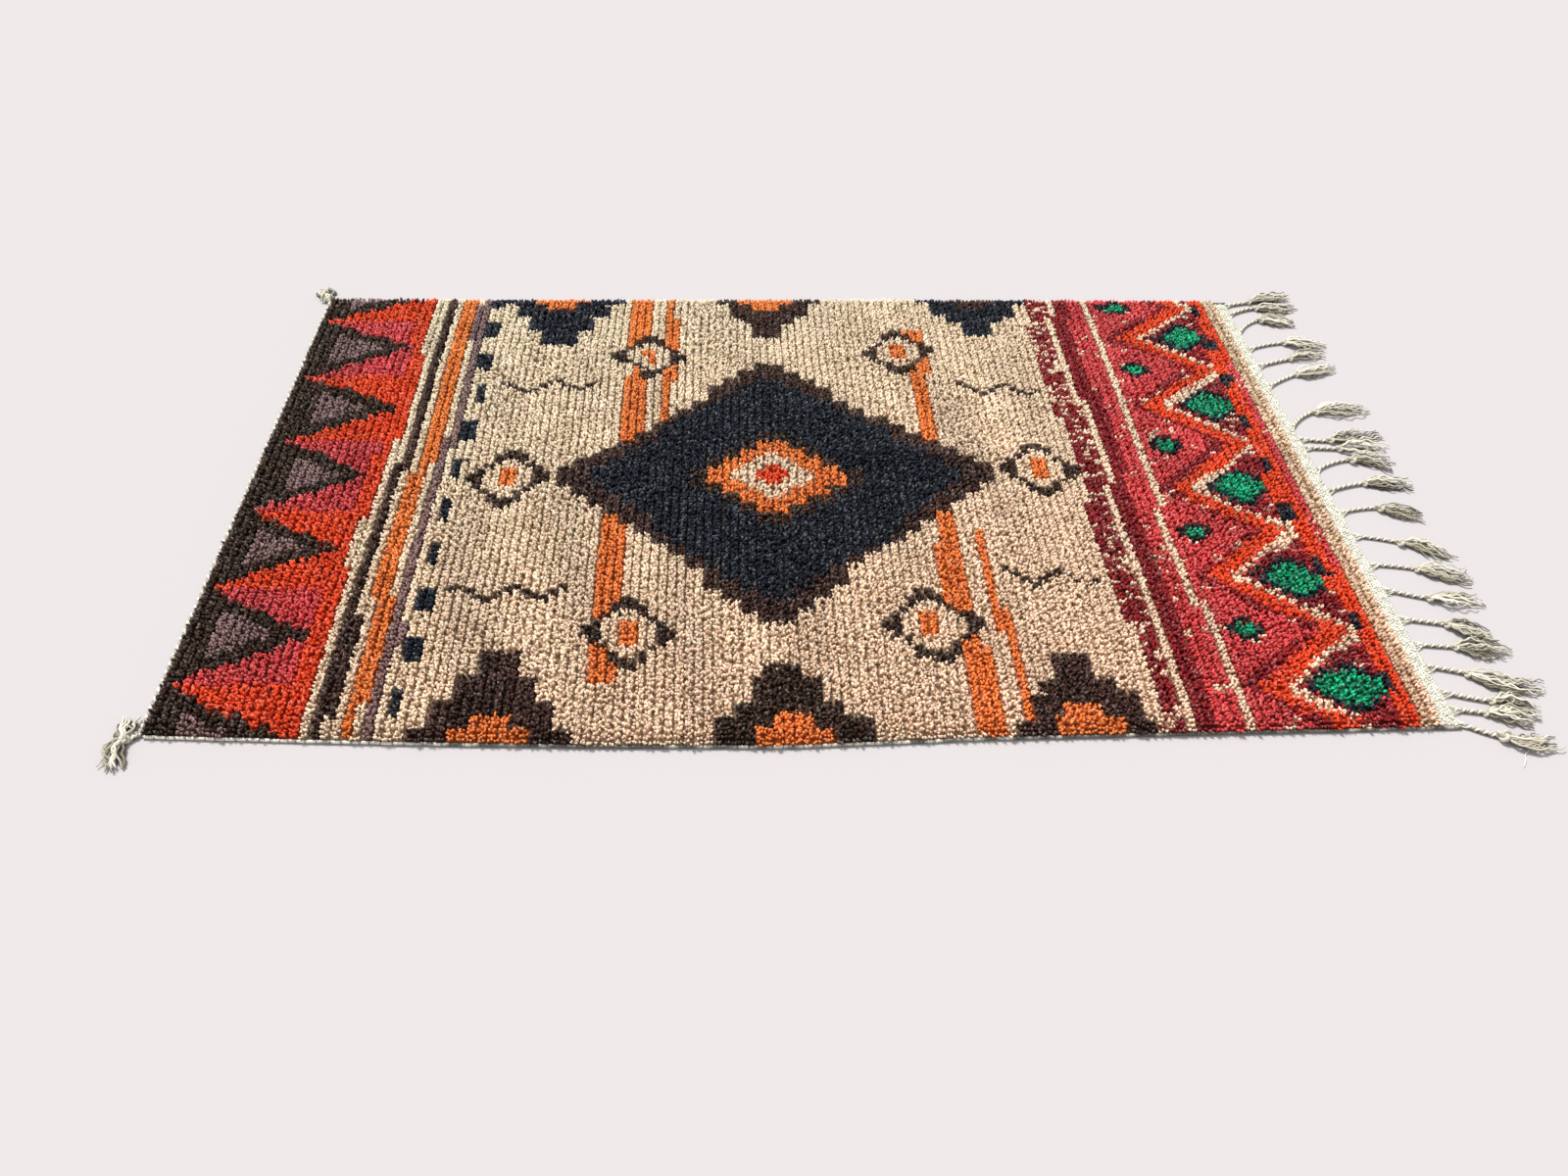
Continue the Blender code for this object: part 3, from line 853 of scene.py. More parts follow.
def spun_fibres():
    """Fine fibres of spun wool: a broken tone and a height for bump."""
    group, given, result = group_of(
        "spun_fibres",
        (
            ("Colour", COLOUR_SOCKET, (0.8, 0.8, 0.8, 1.0)),
            ("Fibre Scale", FLOAT_SOCKET, 700.0),
            ("Tone Depth", FLOAT_SOCKET, 0.25),
        ),
        (("Colour", COLOUR_SOCKET), ("Height", FLOAT_SOCKET), ("Roughness", FLOAT_SOCKET)),
    )
    where = add_node(group, "ShaderNodeTexCoord")
    noise = add_node(group, "ShaderNodeTexNoise", {"Detail": 2.0, "Roughness": 0.6})
    centred = add_node(group, "ShaderNodeMath", {1: 0.5}, operation="SUBTRACT")
    tone = add_node(group, "ShaderNodeMath", {2: 1.0}, operation="MULTIPLY_ADD")
    coloured = add_node(group, "ShaderNodeVectorMath", operation="SCALE")
    rough = add_node(group, "ShaderNodeMapRange", {"To Min": 0.60, "To Max": 0.92})
    link(
        group,
        (where.outputs["Object"], noise.inputs["Vector"]),
        (given.outputs["Fibre Scale"], noise.inputs["Scale"]),
        (noise.outputs["Fac"], centred.inputs[0]),
        (centred.outputs[0], tone.inputs[0]),
        (given.outputs["Tone Depth"], tone.inputs[1]),
        (given.outputs["Colour"], coloured.inputs[0]),
        (tone.outputs[0], coloured.inputs["Scale"]),
        (noise.outputs["Fac"], rough.inputs["Value"]),
        (coloured.outputs[0], result.inputs["Colour"]),
        (noise.outputs["Fac"], result.inputs["Height"]),
        (rough.outputs["Result"], result.inputs["Roughness"]),
    )
    return group


def uneven_dye():
    """Slow changes of tone over a hand-dyed or hand-handled surface."""
    group, given, result = group_of(
        "uneven_dye",
        (
            ("Colour", COLOUR_SOCKET, (0.8, 0.8, 0.8, 1.0)),
            ("Patch Scale", FLOAT_SOCKET, 9.0),
            ("Amount", FLOAT_SOCKET, 0.3),
            ("Worn Colour", COLOUR_SOCKET, (0.5, 0.4, 0.3, 1.0)),
        ),
        (("Colour", COLOUR_SOCKET), ("Mask", FLOAT_SOCKET)),
    )
    where = add_node(group, "ShaderNodeTexCoord")
    noise = add_node(group, "ShaderNodeTexNoise", {"Detail": 3.0})
    mask = add_node(group, "ShaderNodeMapRange", {"From Min": 0.42, "From Max": 0.70})
    share = add_node(group, "ShaderNodeMath", operation="MULTIPLY")
    mix = add_node(group, "ShaderNodeMix", data_type="RGBA", blend_type="MULTIPLY")
    link(
        group,
        (where.outputs["Object"], noise.inputs["Vector"]),
        (given.outputs["Patch Scale"], noise.inputs["Scale"]),
        (noise.outputs["Fac"], mask.inputs["Value"]),
        (mask.outputs["Result"], share.inputs[0]),
        (given.outputs["Amount"], share.inputs[1]),
        (share.outputs[0], mix.inputs["Factor"]),
        (given.outputs["Colour"], mix.inputs[6]),
        (given.outputs["Worn Colour"], mix.inputs[7]),
        (mix.outputs[2], result.inputs["Colour"]),
        (share.outputs[0], result.inputs["Mask"]),
    )
    return group


SPUN_FIBRES = spun_fibres()
UNEVEN_DYE = uneven_dye()


def make_wool(name, look):
    """Wool whose own colour is on the mesh, broken by fibres and by slow changes of tone."""
    material, shader = shaded_material(name, WOOL_SHADER)
    tree = material.node_tree
    yarn = add_node(tree, "ShaderNodeVertexColor", layer_name=YARN_COLOUR)
    patches = {"Patch Scale": look.patch_scale, "Amount": look.patch_amount, "Worn Colour": look.worn}
    spun = {"Fibre Scale": look.fibre_scale, "Tone Depth": look.tone_depth}
    dye = add_node(tree, "ShaderNodeGroup", patches, node_tree=UNEVEN_DYE)
    fibres = add_node(tree, "ShaderNodeGroup", spun, node_tree=SPUN_FIBRES)
    relief = add_node(tree, "ShaderNodeBump", {"Strength": look.bump, "Distance": FIBRE_RELIEF})
    link(
        tree,
        (yarn.outputs["Color"], dye.inputs["Colour"]),
        (dye.outputs["Colour"], fibres.inputs["Colour"]),
        (fibres.outputs["Colour"], shader.inputs["Base Color"]),
        (fibres.outputs["Roughness"], shader.inputs["Roughness"]),
        (fibres.outputs["Height"], relief.inputs["Height"]),
        (relief.outputs["Normal"], shader.inputs["Normal"]),
    )
    return material


# Pile and ground

def knot_colours(chart):
    """The colour of each knot, with the changes of tone of hand-dyed yarn from row to row.

    The yarn is yellower towards the far side and the start cord, and browner towards the near side and
    the fringe.
    """
    palette = np.array([YARNS[name] for name in YARN_NAMES])
    row, knot = np.indices((PILE_ROWS, KNOTS))
    tone = DYE_TONE + drift(row_place(row), knot_place(knot) * DYE_ALONG_ROW, DYE_DRIFT)
    cast = YELLOWER_TO_FAR * knot_place(knot) - YELLOWER_TO_START * row_place(row)
    return palette[chart] * tone[..., None] * (1 + cast[..., None] * YELLOWER)


def pile_paths():
    """Paths [row, knot, end, ring] of all the yarn ends."""
    rng = default_rng(7)
    shape = (PILE_ROWS, KNOTS, len(YARN_ENDS))
    row, knot, _ = np.ogrid[:PILE_ROWS, :KNOTS, :1]
    foot_x, foot_y, lean_x, lean_y, share_of_length = np.array(YARN_ENDS).T
    x = row_place(row)
    y = knot_place(knot)
    x, y = np.broadcast_arrays(x + rib_sway(x, y), y)
    near_tangle = np.interp(-y, NEAR_TANGLE_Y, (0.0, NEAR_TANGLE))
    tangle = (TANGLE + drift(x, y, TANGLE_DRIFT) + near_tangle).clip(LEAST_TANGLE, None)
    rim = np.clip((np.abs(y) - (PILE_FOOT - RIM_START)) / RIM_WIDTH, 0, 1)
    foot_x = x + foot_x * (1 + RIM_SPREAD * rim) + rng.normal(0, FOOT_NOISE_X, shape)
    foot_y = y + foot_y * (1 - rim) + rng.normal(0, FOOT_NOISE_Y, shape)
    lean_x = lean_x * (1 - rim) + drift(x, y, LEAN_X_DRIFT) + rng.normal(0, 1, shape) * tangle
    lean_y = lean_y + drift(x, y, LEAN_Y_DRIFT) + rng.normal(0, 1, shape) * tangle * TANGLE_ALONG_ROW
    overhang = np.where(y < 0, np.interp(x, NEAR_OVERHANG_X, NEAR_OVERHANG), FAR_OVERHANG)
    overhang = overhang + rng.uniform(-RIM_NOISE, RIM_NOISE, shape)
    lean_y = lean_y * (1 - rim) + np.sign(y) * rim * overhang
    lean_x[0] += FIRST_ROW_LEAN
    lean_x[-1] += LAST_ROW_LEAN
    steep = np.hypot(lean_x, lean_y)
    hold = np.minimum(1.0, MOST_LEAN / np.maximum(steep, 1e-9))
    lean_x, lean_y = lean_x * hold, lean_y * hold
    upright = np.sqrt(1 - lean_x**2 - lean_y**2)
    length = TUFT_LENGTH * (RIM_LENGTH * rim + (1 - rim) * share_of_length)
    length = length * (1 + drift(x, y, LENGTH_DRIFT) + rng.normal(0, LENGTH_NOISE, shape))
    rings = []
    for ring in TUFT_RINGS:
        bend = length * ring.share**BEND_POWER
        curl = CURL * ring.share
        at_x = foot_x + bend * lean_x + rng.normal(0, 1, shape) * curl
        at_y = foot_y + bend * lean_y + rng.normal(0, 1, shape) * curl
        at_z = TUFT_FOOT + length * upright * ring.share + swell_height(x, y)
        rings.append(lie(at_x, at_y, at_z))
    return np.stack(rings, 3)


def build_pile(chart, material):
    """The yarn ends, in strips along the rug that are a piece each."""
    rng = default_rng(8)
    paths = pile_paths()
    shape = paths.shape[:3]
    # Painted shade darkens and warms the roots of the yarn ends, and painted light brightens their tips
    shade = np.array([ring.shade for ring in TUFT_RINGS])
    depth = 1 - np.array([ring.share for ring in TUFT_RINGS])
    tint = 1 - depth[:, None] * (1 - np.array(ROOT_SHADE_TINT))
    dyed = knot_colours(chart)[:, :, None, None, :]
    # Random tone per yarn end, wider on dark yarns as painted glints and painted shade
    tone_spread = UNEVEN + DARK_UNEVEN_AND_GLINT * (dyed[..., 0].mean(-1) < DARK_YARN)
    tone = np.exp(rng.normal(0, 1, shape) * tone_spread - tone_spread**2 / 2).clip(*UNEVEN_TONES)
    colours = dyed * (tone[..., None] * shade)[..., None] * tint
    # Painted glints: light colour added at random near the tips
    glint_share = np.array([ring.gloss for ring in TUFT_RINGS])[:, None]
    colours = colours + PAINTED_GLINT * rng.random((*shape, 1, 1)) ** PAINTED_GLINT_POWER * glint_share
    colours = colours * (1 + rng.normal(0, HUE_NOISE, (*shape, 1, 3)))
    radii = np.array([ring.radius for ring in TUFT_RINGS]) * (1 + rng.normal(0, RADIUS_NOISE, (*shape, 1)))
    spin = rng.uniform(0, TURN, shape)
    strips = []
    for number, knots in enumerate(np.array_split(np.arange(KNOTS), PILE_STRIPS), 1):
        piece = tubes_object(
            f"pile_strip_{number}",
            paths[:, knots].reshape(-1, len(TUFT_RINGS), 3),
            radii[:, knots].reshape(-1, len(TUFT_RINGS)),
            colours[:, knots].reshape(-1, len(TUFT_RINGS), 3),
            TUFT_SIDES,
            material,
            spin[:, knots].ravel(),
            pointed=True,
        )
        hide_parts("pile_field")
        strips.append(piece)
    return strips


def build_ground(chart, material):
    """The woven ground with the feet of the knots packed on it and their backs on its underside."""
    half_row, column = np.ogrid[: 2 * PILE_ROWS + 1, : BED_COLUMNS + 1]
    x = PILE_START + (PILE_END - PILE_START) * half_row / (2 * PILE_ROWS)
    y = PILE_FOOT * (2 * column / BED_COLUMNS - 1)
    x, y = np.broadcast_arrays(x + rib_sway(x, y), y)
    rise = swell_height(x, y)
    is_crest = np.broadcast_to(half_row % 2 == 1, x.shape)
    top = np.where(is_crest, BED_CREST, BED_VALLEY) + drift(x, y, BED_DRIFT)
    is_rim = (half_row == 0) | (half_row == 2 * PILE_ROWS) | (column == 0) | (column == BED_COLUMNS)
    top = np.where(is_rim, BED_RIM, top)
    knot_row = np.clip((half_row - 1) // 2, 0, PILE_ROWS - 1)
    knot = np.minimum(column * KNOTS // BED_COLUMNS, KNOTS - 1)
    dyed = knot_colours(chart)[knot_row, knot]
    # Painted shade on the feet, darkest in the valleys between rows and warmed by the root shade tint
    feet = dyed * np.where(is_crest, BED_CREST_SHADE, BED_VALLEY_SHADE)[..., None] * ROOT_SHADE_TINT
    surfaces = lie(x, y, top + rise), lie(x, y, BACK_HEIGHT + rise)
    piece = slab_object("woven_ground", *surfaces, feet, dyed * BACK_SHADE, material)
    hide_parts("pile_field")
    return piece


# Edges

def build_selvedge(name, side, material):
    """The cord along a long side, overcast with slanting wraps of wool."""
    radius = SELVEDGE_WIDTH / 2 - SELVEDGE_LIFT
    length = SELVEDGE_END - PILE_START
    rings = int(length / WRAP * RINGS_A_WRAP)
    x = np.linspace(PILE_START, SELVEDGE_END, rings)
    rng = default_rng(31 + side)
    y = side * (HALF_WIDTH - SELVEDGE_WIDTH / 2) + drift(x, 0, SELVEDGE_SWAY, side)
    paths = lie(x, y, radius + SELVEDGE_LIFT)[None]
    angles = TURN * np.arange(SELVEDGE_SIDES) / SELVEDGE_SIDES
    phase = TURN * x[:, None] / WRAP + side * angles
    radii = radius * (WRAP_ROUND + WRAP_RELIEF * np.cos(phase) + rng.normal(0, 0.02, (rings, 1)))
    # Painted shadow: the cord is painted light towards the start end and dark further on, as under the
    # overhanging pile, and dark in the slits
    lit_share = (np.interp(x, LIT_X, LIT_SHARE) + drift(x, 0, LIT_DRIFT, side)).clip(0, 1)
    is_slit = np.cos(TURN * x / SLIT_STEP + drift(x, 0, SLIT_DRIFT, side)) > SLIT_FROM
    lit_share = np.where(is_slit, SLIT_LIT_SHARE * lit_share, lit_share)
    # Painted shade in the groove between wraps
    wrapped = 1 - WRAP_SHADE + WRAP_SHADE * np.cos(phase[:, 0])
    tone = SHADOWED_TONE + LIT_TONE * lit_share * wrapped + rng.normal(0, 0.04, rings)
    colours = SELVEDGE_CREAM * np.clip(tone, 0, 1.05)[:, None]
    piece = tubes_object(name, paths, radii[None], colours[None], SELVEDGE_SIDES, material)
    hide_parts("selvedge_near" if side < 0 else "selvedge_far")
    return piece


def travelled_to(points):
    """How far along a line of points each one is."""
    steps = np.linalg.norm(np.diff(points, axis=0), axis=1)
    return np.concatenate([[0], np.cumsum(steps)])


def plies(axis, turn, scale, rng):
    """Paths of two plies wound round axis [ring, xyz], their radii and their tones, with painted light on
    each ply's upper side and painted shade on the second ply.
    """
    travelled = travelled_to(axis)
    tangent = unit(np.gradient(axis, axis=0))
    across = unit(np.cross(tangent, (0.0, 0.0, 1.0)))
    other = np.cross(across, tangent)
    start = rng.uniform(0, TURN)
    paths, radii, tones = [], [], []
    for ply in range(2):
        angle = start + math.pi * ply + TURN * travelled / turn
        offset = PLY_OFFSET * scale * (np.cos(angle)[:, None] * across + np.sin(angle)[:, None] * other)
        paths.append(axis + offset)
        radii.append(PLY_RADIUS * scale * (1 + rng.normal(0, 0.04, len(axis))))
        # Painted light on the upper side of each ply, and painted shade on the second ply
        lit = PLY_TONE - SECOND_PLY_SHADE * ply + PLY_LIT_SIDE * np.sin(angle)
        tones.append((lit + rng.normal(0, 0.06, len(axis))).clip(0.1, 1.1))
    return paths, radii, tones


def resampled(points, count):
    """count points at even steps along a line of points."""
    travelled = travelled_to(points)
    at = np.linspace(0, travelled[-1], count)
    return np.stack([np.interp(at, travelled, values) for values in points.T], -1)


def cord_axis(root, headings, length, height):
    """The middle line of a cord that turns from its leaving heading to its heading at the knot."""
    leaving, arriving = np.radians(headings)
    share = (np.arange(1, CORD_STEPS + 1)) / CORD_STEPS
    heading = leaving + (arriving - leaving) * share
    steps = np.stack([np.cos(heading), np.sin(heading), heading * 0], -1) * length / CORD_STEPS
    points = np.concatenate([[root], root + np.cumsum(steps, axis=0)])
    points[:, 2] = height
    return points


def forward(heading):
    """The level direction of a heading in radians."""
    return np.array([math.cos(heading), math.sin(heading), 0.0])


def knot_path(centre, heading, size):
    """A closed overhand knot lying flat round centre."""
    turn = np.linspace(0, TURN, KNOT_RINGS, endpoint=False)
    along = (np.sin(turn) + 2 * np.sin(2 * turn)) / 3 * KNOT_HALF_LENGTH * size
    across = (np.cos(turn) - 2 * np.cos(2 * turn)) / 3 * KNOT_HALF_WIDTH * size
    up = -np.sin(3 * turn) * KNOT_RISE * size
    sideways = np.array([-math.sin(heading), math.cos(heading), 0.0])
    path = centre + along[:, None] * forward(heading) + across[:, None] * sideways
    path[:, 2] = KNOT_HEIGHT * size + up
    return path


def tassel_strands(start, headings, length, width, rng):
    """Paths, radii and tones of a tassel's crimped yarns, from start at the knot to their ragged tips. The
    tones hold painted shade on the lower strands and towards the knot.
    """
    share = np.linspace(0, 1, STRAND_RINGS)[None, :]
    each = (STRANDS, 1)
    first, last = headings
    curl = rng.choice((-1, 1)) * rng.uniform(*TASSEL_CURL)
    heading = (first + (last - first) * np.minimum(1, 3 * share) + curl * share**2)[0]
    step = length / (STRAND_RINGS - 1)
    middle_x = np.concatenate([[0], np.cumsum(np.cos(heading[1:]) * step)])
    middle_y = np.concatenate([[0], np.cumsum(np.sin(heading[1:]) * step)])
    lock = rng.integers(0, LOCKS, each)
    lock_place = rng.uniform(*LOCK_PLACE, LOCKS)
    lock_layer = rng.uniform(*LOCK_LAYER, LOCKS)
    lock_wave = rng.random(LOCKS)
    place = lock_place[lock] + rng.normal(0, PLACE_NOISE, each)
    layer = (lock_layer[lock] + rng.normal(0, LAYER_NOISE, each)).clip(0, 1)
    reach = rng.uniform(*STRAND_REACH, each)
    bulge = np.sin(math.pi * share ** rng.uniform(*TASSEL_BULGE))
    spread = TASSEL_SPREAD.start + TASSEL_SPREAD.bulge * width * bulge + TASSEL_SPREAD.tip * width * share
    across = place * spread + rng.normal(0, TIP_NOISE, each) * share**2.5
    own_length = length * rng.uniform(*STRAND_LENGTH, each) / CRIMP_LENGTH
    wave = TURN * (share * own_length + lock_wave[lock] + rng.normal(0, CRIMP_NOISE, each))
    crimp = CRIMP * rng.uniform(*CRIMP_SIZE, each) * np.minimum(1, 5 * share)
    across = across + crimp * np.sin(wave)
    low = STRAND_RADIUS * STRAND_LIFT
    pile_up = TASSEL_HEIGHT.start + TASSEL_HEIGHT.bulge * bulge + TASSEL_HEIGHT.tip * share
    up = low + layer * pile_up + CRIMP_RISE * crimp * (1 + np.cos(wave))
    at = share * reach * (STRAND_RINGS - 1)
    rings = np.arange(STRAND_RINGS)
    x = start[0] + np.interp(at, rings, middle_x) - across * np.interp(at, rings, np.sin(heading))
    y = start[1] + np.interp(at, rings, middle_y) + across * np.interp(at, rings, np.cos(heading))
    radii = STRAND_RADIUS * rng.uniform(*STRAND_RADII, each) * (1.0 - 0.4 * share**4)
    # Painted shade on lower strands and towards the knot
    tones = (UNDER_SHADE_TONE + LAYER_LIGHT * layer**LAYER_LIGHT_POWER) * (1 + rng.normal(0, STRAND_NOISE, each))
    return np.stack([x, y, up], -1), radii, tones * (ROOT_SHADE_TONE + TIP_LIGHT * share)


class Yarnwork:
    """Gathers plies, knots, strands and threads until they are made into one piece of each kind."""

    def __init__(self):
        self.lines = {}

    def add(self, kind, paths, radii, tones, colour):
        rows = self.lines.setdefault(kind, [])
        for path, radius, tone in zip(paths, radii, tones):
            tone = np.asarray(tone)[:, None]
            shades = tone * colour * (1 - (1 - tone.clip(0, 1)) * (1 - np.array(SHADE_TINT)))
            rows.append((np.asarray(path), np.broadcast_to(radius, len(path)), shades))

    def make(self, kind, name, sides, material):
        rows = self.lines[kind]
        paths, radii, colours = (np.stack(part) for part in zip(*rows))
        return tubes_object(name, paths, radii, colours, sides, material)


def add_cord_and_tassel(work, root, headings, lengths, size, bushy, rng):
    """A two-ply cord, its knot and its tassel, wider where bushy is more than 1.

    Returns where the tassel starts.
    """
    cord_length, tassel_length = lengths
    leaving, arriving, falling = headings
    scale = rng.uniform(*CORD_SCALE)
    height = (PLY_RADIUS + PLY_OFFSET) * scale + CORD_LIFT
    axis = cord_axis(root, (leaving, arriving), cord_length + CORD_INTO_KNOT, height)
    work.add("plies", *plies(resampled(axis, CORD_RINGS), FRINGE_TURN, scale, rng), CORD_CREAM)
    end = cord_axis(root, (leaving, arriving), cord_length, height)[-1]
    arriving, falling = math.radians(arriving), math.radians(falling)
    heading = arriving + 0.5 * (falling - arriving)
    knot = knot_path(end + KNOT_AHEAD * forward(heading), heading, size)
    work.add("knots", [knot], [KNOT_RADIUS * size], [np.full(KNOT_RINGS, KNOT_TONE)], FRINGE_CREAM)
    start = end + TASSEL_AHEAD * forward(heading)
    width = bushy * rng.uniform(*TASSEL_WIDTH)
    strands = tassel_strands(start, (heading, falling), tassel_length + TASSEL_EXTRA, width, rng)
    work.add("strands", *strands, FRINGE_CREAM)
    return start


def fringe_headings(cord):
    """The headings of a cord at the band and at its knot, and of its tassel, in degrees."""
    arriving = cord.cord_heading + CORD_BEND * (cord.tassel_heading - cord.cord_heading)
    return 2 * cord.cord_heading - arriving, arriving, cord.tassel_heading


def build_fringe():
    work = Yarnwork()
    for number, cord in enumerate(FRINGE):
        rng = default_rng(100 + number)
        root = lie(HALF_LENGTH, cord.root_y, 0.0)
        lengths = (cord.cord_length, cord.tassel_length)
        add_cord_and_tassel(work, root, fringe_headings(cord), lengths, cord.knot, 1.0, rng)
    return work


def closed_tubes(work, name, material):
    """The knots, whose tubes close on themselves."""
    rows = work.lines["knots"]
    paths = np.stack([row[0] for row in rows])
    tubes, rings = paths.shape[:2]
    sides = KNOT_SIDES
    radius = np.stack([row[1] for row in rows])
    angles = TURN * np.arange(sides) / sides
    turn = np.linspace(0, TURN, rings, endpoint=False)
    lay = np.cos(2 * angles + KNOT_LAY * turn[:, None])
    radii = radius[:, :, None] * (1 + KNOT_GROOVE * lay)
    wrapped = np.concatenate([paths[:, -1:], paths, paths[:, :1]], 1)
    tangents = unit(wrapped[:, 2:] - wrapped[:, :-2])
    outward = unit(paths - paths.mean(1, keepdims=True) + (0.0, 0.0, 1e-5))
    points = rings_round(paths, tangents, outward, radii, angles)
    wall = wall_faces(rings, rings, sides)
    corners = (np.arange(tubes)[:, None] * rings * sides + wall.ravel()).ravel()
    counts = np.full(tubes * rings * sides, 4)
    # Painted shade in the grooves of the knot's lay
    groove_shade = 1 - KNOT_GROOVE_SHADE + KNOT_GROOVE_SHADE * lay
    colours = np.stack([row[2] for row in rows])[:, :, None] * groove_shade[None, :, :, None]
    return mesh_object(name, points.reshape(-1, 3), corners, counts, colours.reshape(-1, 3), None, material)


def build_kilim_band(material):
    """The flat-woven band's cloth, puckered, with an uneven outer edge."""
    row, column = np.ogrid[: BAND_ROWS + 1, : BAND_COLUMNS + 1]
    y = PILE_FOOT * (2 * column / BAND_COLUMNS - 1)
    share = row / BAND_ROWS
    edge = drift(y, BAND_EDGE_PLACE, BAND_EDGE) - BAND_EDGE_INSET
    x = PILE_END + GAP + (KILIM_WIDTH - 2 * GAP + edge) * share
    x, y = np.broadcast_arrays(x, y)
    pucker = band_pucker(x, y)
    top = lie(x, y, BAND_TOP + pucker)
    bottom = lie(x, y, BAND_BOTTOM + pucker)
    # Painted shade: the cloth is darker than the wefts on it
    tone = BAND_SHADE_TONE + drift(x, y, BAND_TONE_DRIFT)
    colours = WARP_WHITE * tone[..., None]
    return slab_object("kilim_band", top, bottom, colours, colours, material)


def band_pucker(x, y):
    across_band = np.clip((x - PILE_END) / KILIM_WIDTH, 0, 1)
    return PUCKER * (1 + drift(x, y, PUCKER_DRIFT)).clip(0, 2) * np.sin(math.pi * (0.1 + 0.8 * across_band))


def build_band_wefts(material):
    """Plump wefts that ride over the warps of the flat-woven band, slanting one way in each line."""
    rng = default_rng(55)
    line, stitch = np.ogrid[:WEFT_LINES, :WEFTS_A_LINE]
    shape = (WEFT_LINES, WEFTS_A_LINE)
    x = PILE_END + WEFT_INSET + WEFT_SPAN * (line + 0.5) / WEFT_LINES + rng.normal(0, 0.0007, shape)
    y = PILE_FOOT * (2 * (stitch + 0.5 + WEFT_STAGGER * (line % 2)) / (WEFTS_A_LINE + WEFT_STAGGER) - 1)
    y = y + rng.normal(0, 0.0005, shape)
    slant = np.where(line % 2 == 0, WEFT_SLANT, -WEFT_SLANT) + rng.normal(0, 0.20, shape)
    half = WEFT_HALF_LENGTH * (1 + rng.normal(0, 0.12, shape))
    plump = WEFT_RADIUS * (1 + rng.normal(0, 0.15, shape))
    rise = WEFT_HEIGHT + band_pucker(x, y) + drift(x, y, WEFT_RISE).clip(-WEFT_RISE.amount, WEFT_RISE.amount)
    paths, radii = [], []
    for ring in WEFT_RINGS:
        at_y = np.clip(y + ring.along * half * np.cos(slant), -PILE_FOOT, PILE_FOOT)
        at_z = np.maximum(rise + ring.lift, plump * ring.size + GAP)
        paths.append(lie(x + ring.along * half * np.sin(slant), at_y, at_z))
        radii.append(plump * ring.size)
    wefts = WEFT_LINES * WEFTS_A_LINE
    paths = np.stack(paths, 2).reshape(wefts, -1, 3)
    radii = np.stack(radii, 2).reshape(wefts, -1)
    tone = WEFT_TONE + drift(x, y, WEFT_TONE_DRIFT) + rng.normal(0, 0.10, shape)
    colours = tone.reshape(-1, 1, 1) * WARP_WHITE * np.ones((1, radii.shape[1], 1))
    return tubes_object("band_wefts", paths, radii, colours, STRAND_SIDES, material)


def add_warp_gathers(work):
    """Warp ends that leave the band side by side and run together into each cord."""
    for number, cord in enumerate(FRINGE):
        rng = default_rng(300 + number)
        leaving = forward(math.radians(fringe_headings(cord)[0]))
        root = lie(HALF_LENGTH, cord.root_y, 0.0)
        for place in np.linspace(-1, 1, GATHERED_WARPS):
            spread = GATHER_HALF_WIDTH * place + rng.normal(0, 0.001)
            side_y = np.clip(cord.root_y + spread, -PILE_FOOT, PILE_FOOT)
            start = lie(HALF_LENGTH - GATHER_START, side_y, BAND_TOP)
            end = root + leaving * rng.uniform(*GATHER_LENGTH) + (0.0, 0.0015 * place, GATHER_END_HEIGHT)
            middle = 0.5 * (start + end) + (-0.001, 0.0022 * place, 0.0004)
            share = np.linspace(0, 1, GATHER_RINGS)[:, None]
            path = (1 - share) ** 2 * start + 2 * share * (1 - share) * middle + share**2 * end
            tones = np.full(GATHER_RINGS, rng.uniform(0.85, 1.0))
            work.add("gathers", [path], [GATHER_RADIUS], [tones], WARP_WHITE)


def add_loose_thread(work, thread):
    path = resampled(np.array(thread.points), THREAD_RINGS)
    path[:, 0] += THREAD_WAVE * np.sin(np.linspace(0, 11, THREAD_RINGS))
    work.add("threads", [path], [thread.radius], [np.full(THREAD_RINGS, 1.0)], WARP_WHITE)


def build_start_cord(material, work):
    """The twined cord that the weaving started from, with a tassel at each corner that has a stray lock."""
    middle_x = -HALF_LENGTH + CORD_REACH
    count = int(2 * START_CORD_END / START_TURN * RINGS_A_TURN)
    reach = START_CORD_END + START_CORD_OVERRUN
    y = np.linspace(-reach, reach, count)
    height = PLY_RADIUS + PLY_OFFSET + CORD_LIFT
    axis = lie(middle_x + drift(y, 0, START_CORD_SWAY), y, height)
    rng = default_rng(62)
    paths, radii, tones = plies(axis, START_TURN, 1.0, rng)
    tones = [tone * (START_CORD_TONE + drift(y, 0, START_CORD_DRIFT)) for tone in tones]
    colours = np.stack([tone[:, None] * CORD_CREAM for tone in tones])
    piece = tubes_object("start_cord_plies", np.stack(paths), np.stack(radii), colours, PLY_SIDES, material)
    for corner, side in ((NEAR_CORNER, -1), (FAR_CORNER, 1)):
        root = lie(middle_x, side * START_CORD_END, 0.0)
        headings = (corner.leaving_heading, corner.cord_heading, corner.tassel_heading)
        lengths = (corner.cord_length, corner.tassel_length)
        rng = default_rng(80 + side)
        start = add_cord_and_tassel(work, root, headings, lengths, corner.knot, CORNER_BUSHY, rng)
        stray = math.radians(corner.stray_heading)
        strands = tassel_strands(start, (stray, stray), corner.stray_length, STRAY_WIDTH, rng)
        work.add("strands", *strands, FRINGE_CREAM)
    return piece


# Studio

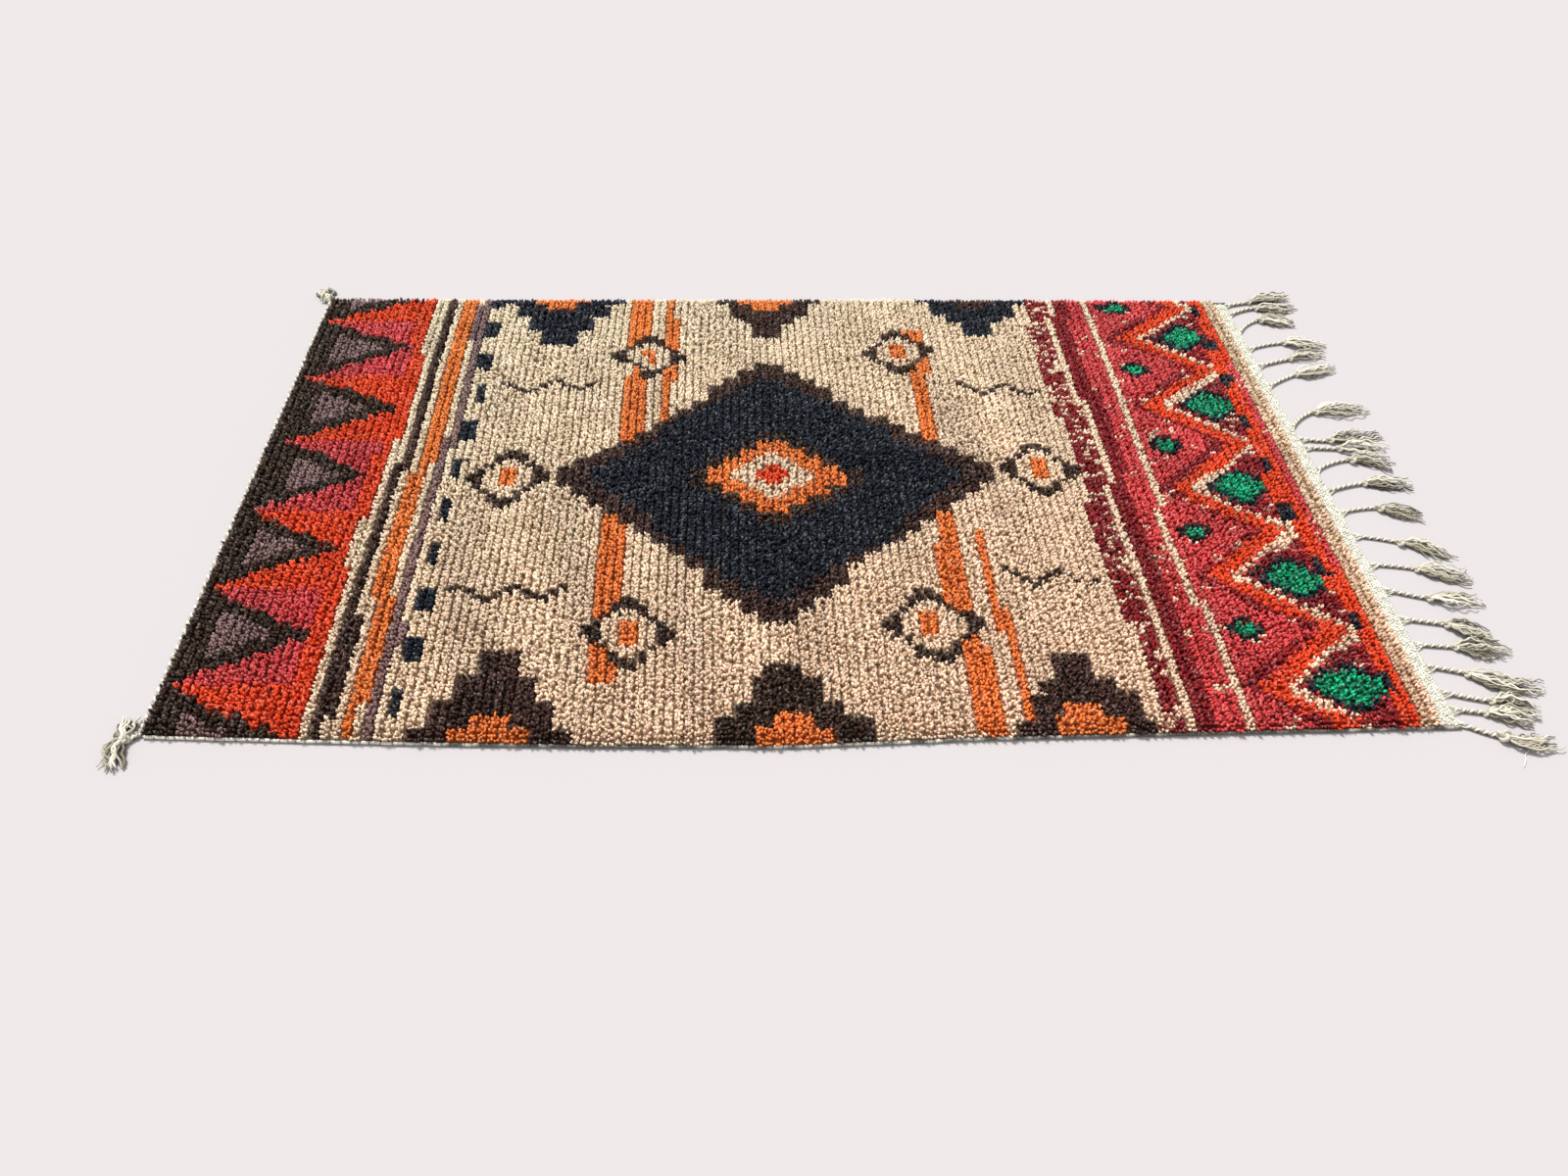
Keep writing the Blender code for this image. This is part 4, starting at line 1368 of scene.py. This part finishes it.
def set_camera():
    """The camera of the photograph."""
    data = bpy.data.cameras.new("photo_view")
    data.sensor_fit = "HORIZONTAL"
    data.sensor_width = SENSOR_WIDTH
    data.lens = CAMERA_LENS
    camera = new_object("photo_view", data)
    turn, tilt, roll = (Matrix.Rotation(math.radians(angle), 4, axis) for angle, axis in CAMERA_TURNS)
    camera.matrix_world = Matrix.Translation(CAMERA_PLACE) @ turn @ tilt @ roll
    bpy.context.scene.camera = camera


def set_studio():
    scene = bpy.context.scene
    scene.view_settings.view_transform = "Standard"
    scene.view_settings.look = "None"
    world = bpy.data.worlds.new("studio")
    world.use_nodes = True
    set_inputs(world.node_tree.nodes["Background"], SKY)
    scene.world = world
    lamp = bpy.data.lights.new("sunlight", "SUN")
    lamp.energy = SUN_ENERGY
    lamp.angle = math.radians(SUN_DEGREES)
    lamp.color = SUN_COLOUR
    sun = new_object("sunlight", lamp)
    sun.rotation_euler = Vector(SUN_DIRECTION).to_track_quat("-Z", "Y").to_euler()
    bpy.ops.mesh.primitive_plane_add(size=FLOOR_SIZE, location=(0.0, 0.0, FLOOR_HEIGHT))
    floor = bpy.context.object
    floor.name = "floor"
    floor.data.materials.append(shaded_material("pale_floor", FLOOR_SHADER)[0])


def dress_rug():
    wools = [make_wool(name, look) for name, look in WOOLS.items()]
    pile_wool, ground_wool, flat_wool, cord_wool, selvedge_wool = wools
    chart = chart_design()
    strips = build_pile(chart, pile_wool)
    ground = build_ground(chart, ground_wool)
    near = build_selvedge("selvedge_near_wraps", -1, selvedge_wool)
    far = build_selvedge("selvedge_far_wraps", 1, selvedge_wool)
    corners = Yarnwork()
    start_plies = build_start_cord(cord_wool, corners)
    add_loose_thread(corners, CORNER_THREAD)
    start = [
        start_plies,
        corners.make("plies", "corner_cords", PLY_SIDES, cord_wool),
        closed_tubes(corners, "corner_knots", cord_wool),
        corners.make("strands", "corner_tassels", STRAND_SIDES, cord_wool),
        corners.make("threads", "corner_thread", STRAND_SIDES, cord_wool),
    ]
    for piece in start:
        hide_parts("start_cord")
    band = build_kilim_band(flat_wool)
    wefts = build_band_wefts(flat_wool)
    work = build_fringe()
    add_warp_gathers(work)
    add_loose_thread(work, FRINGE_THREAD)
    fringe = [
        wefts,
        work.make("plies", "fringe_cords", PLY_SIDES, cord_wool),
        closed_tubes(work, "fringe_knots", cord_wool),
        work.make("strands", "fringe_tassels", STRAND_SIDES, cord_wool),
        work.make("gathers", "warp_gathers", STRAND_SIDES, flat_wool),
        work.make("threads", "loose_thread", STRAND_SIDES, cord_wool),
    ]
    for piece in [band, *fringe]:
        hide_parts("kilim_end_fringe")


set_camera()
set_studio()
dress_rug()
bpy.context.view_layer.update()
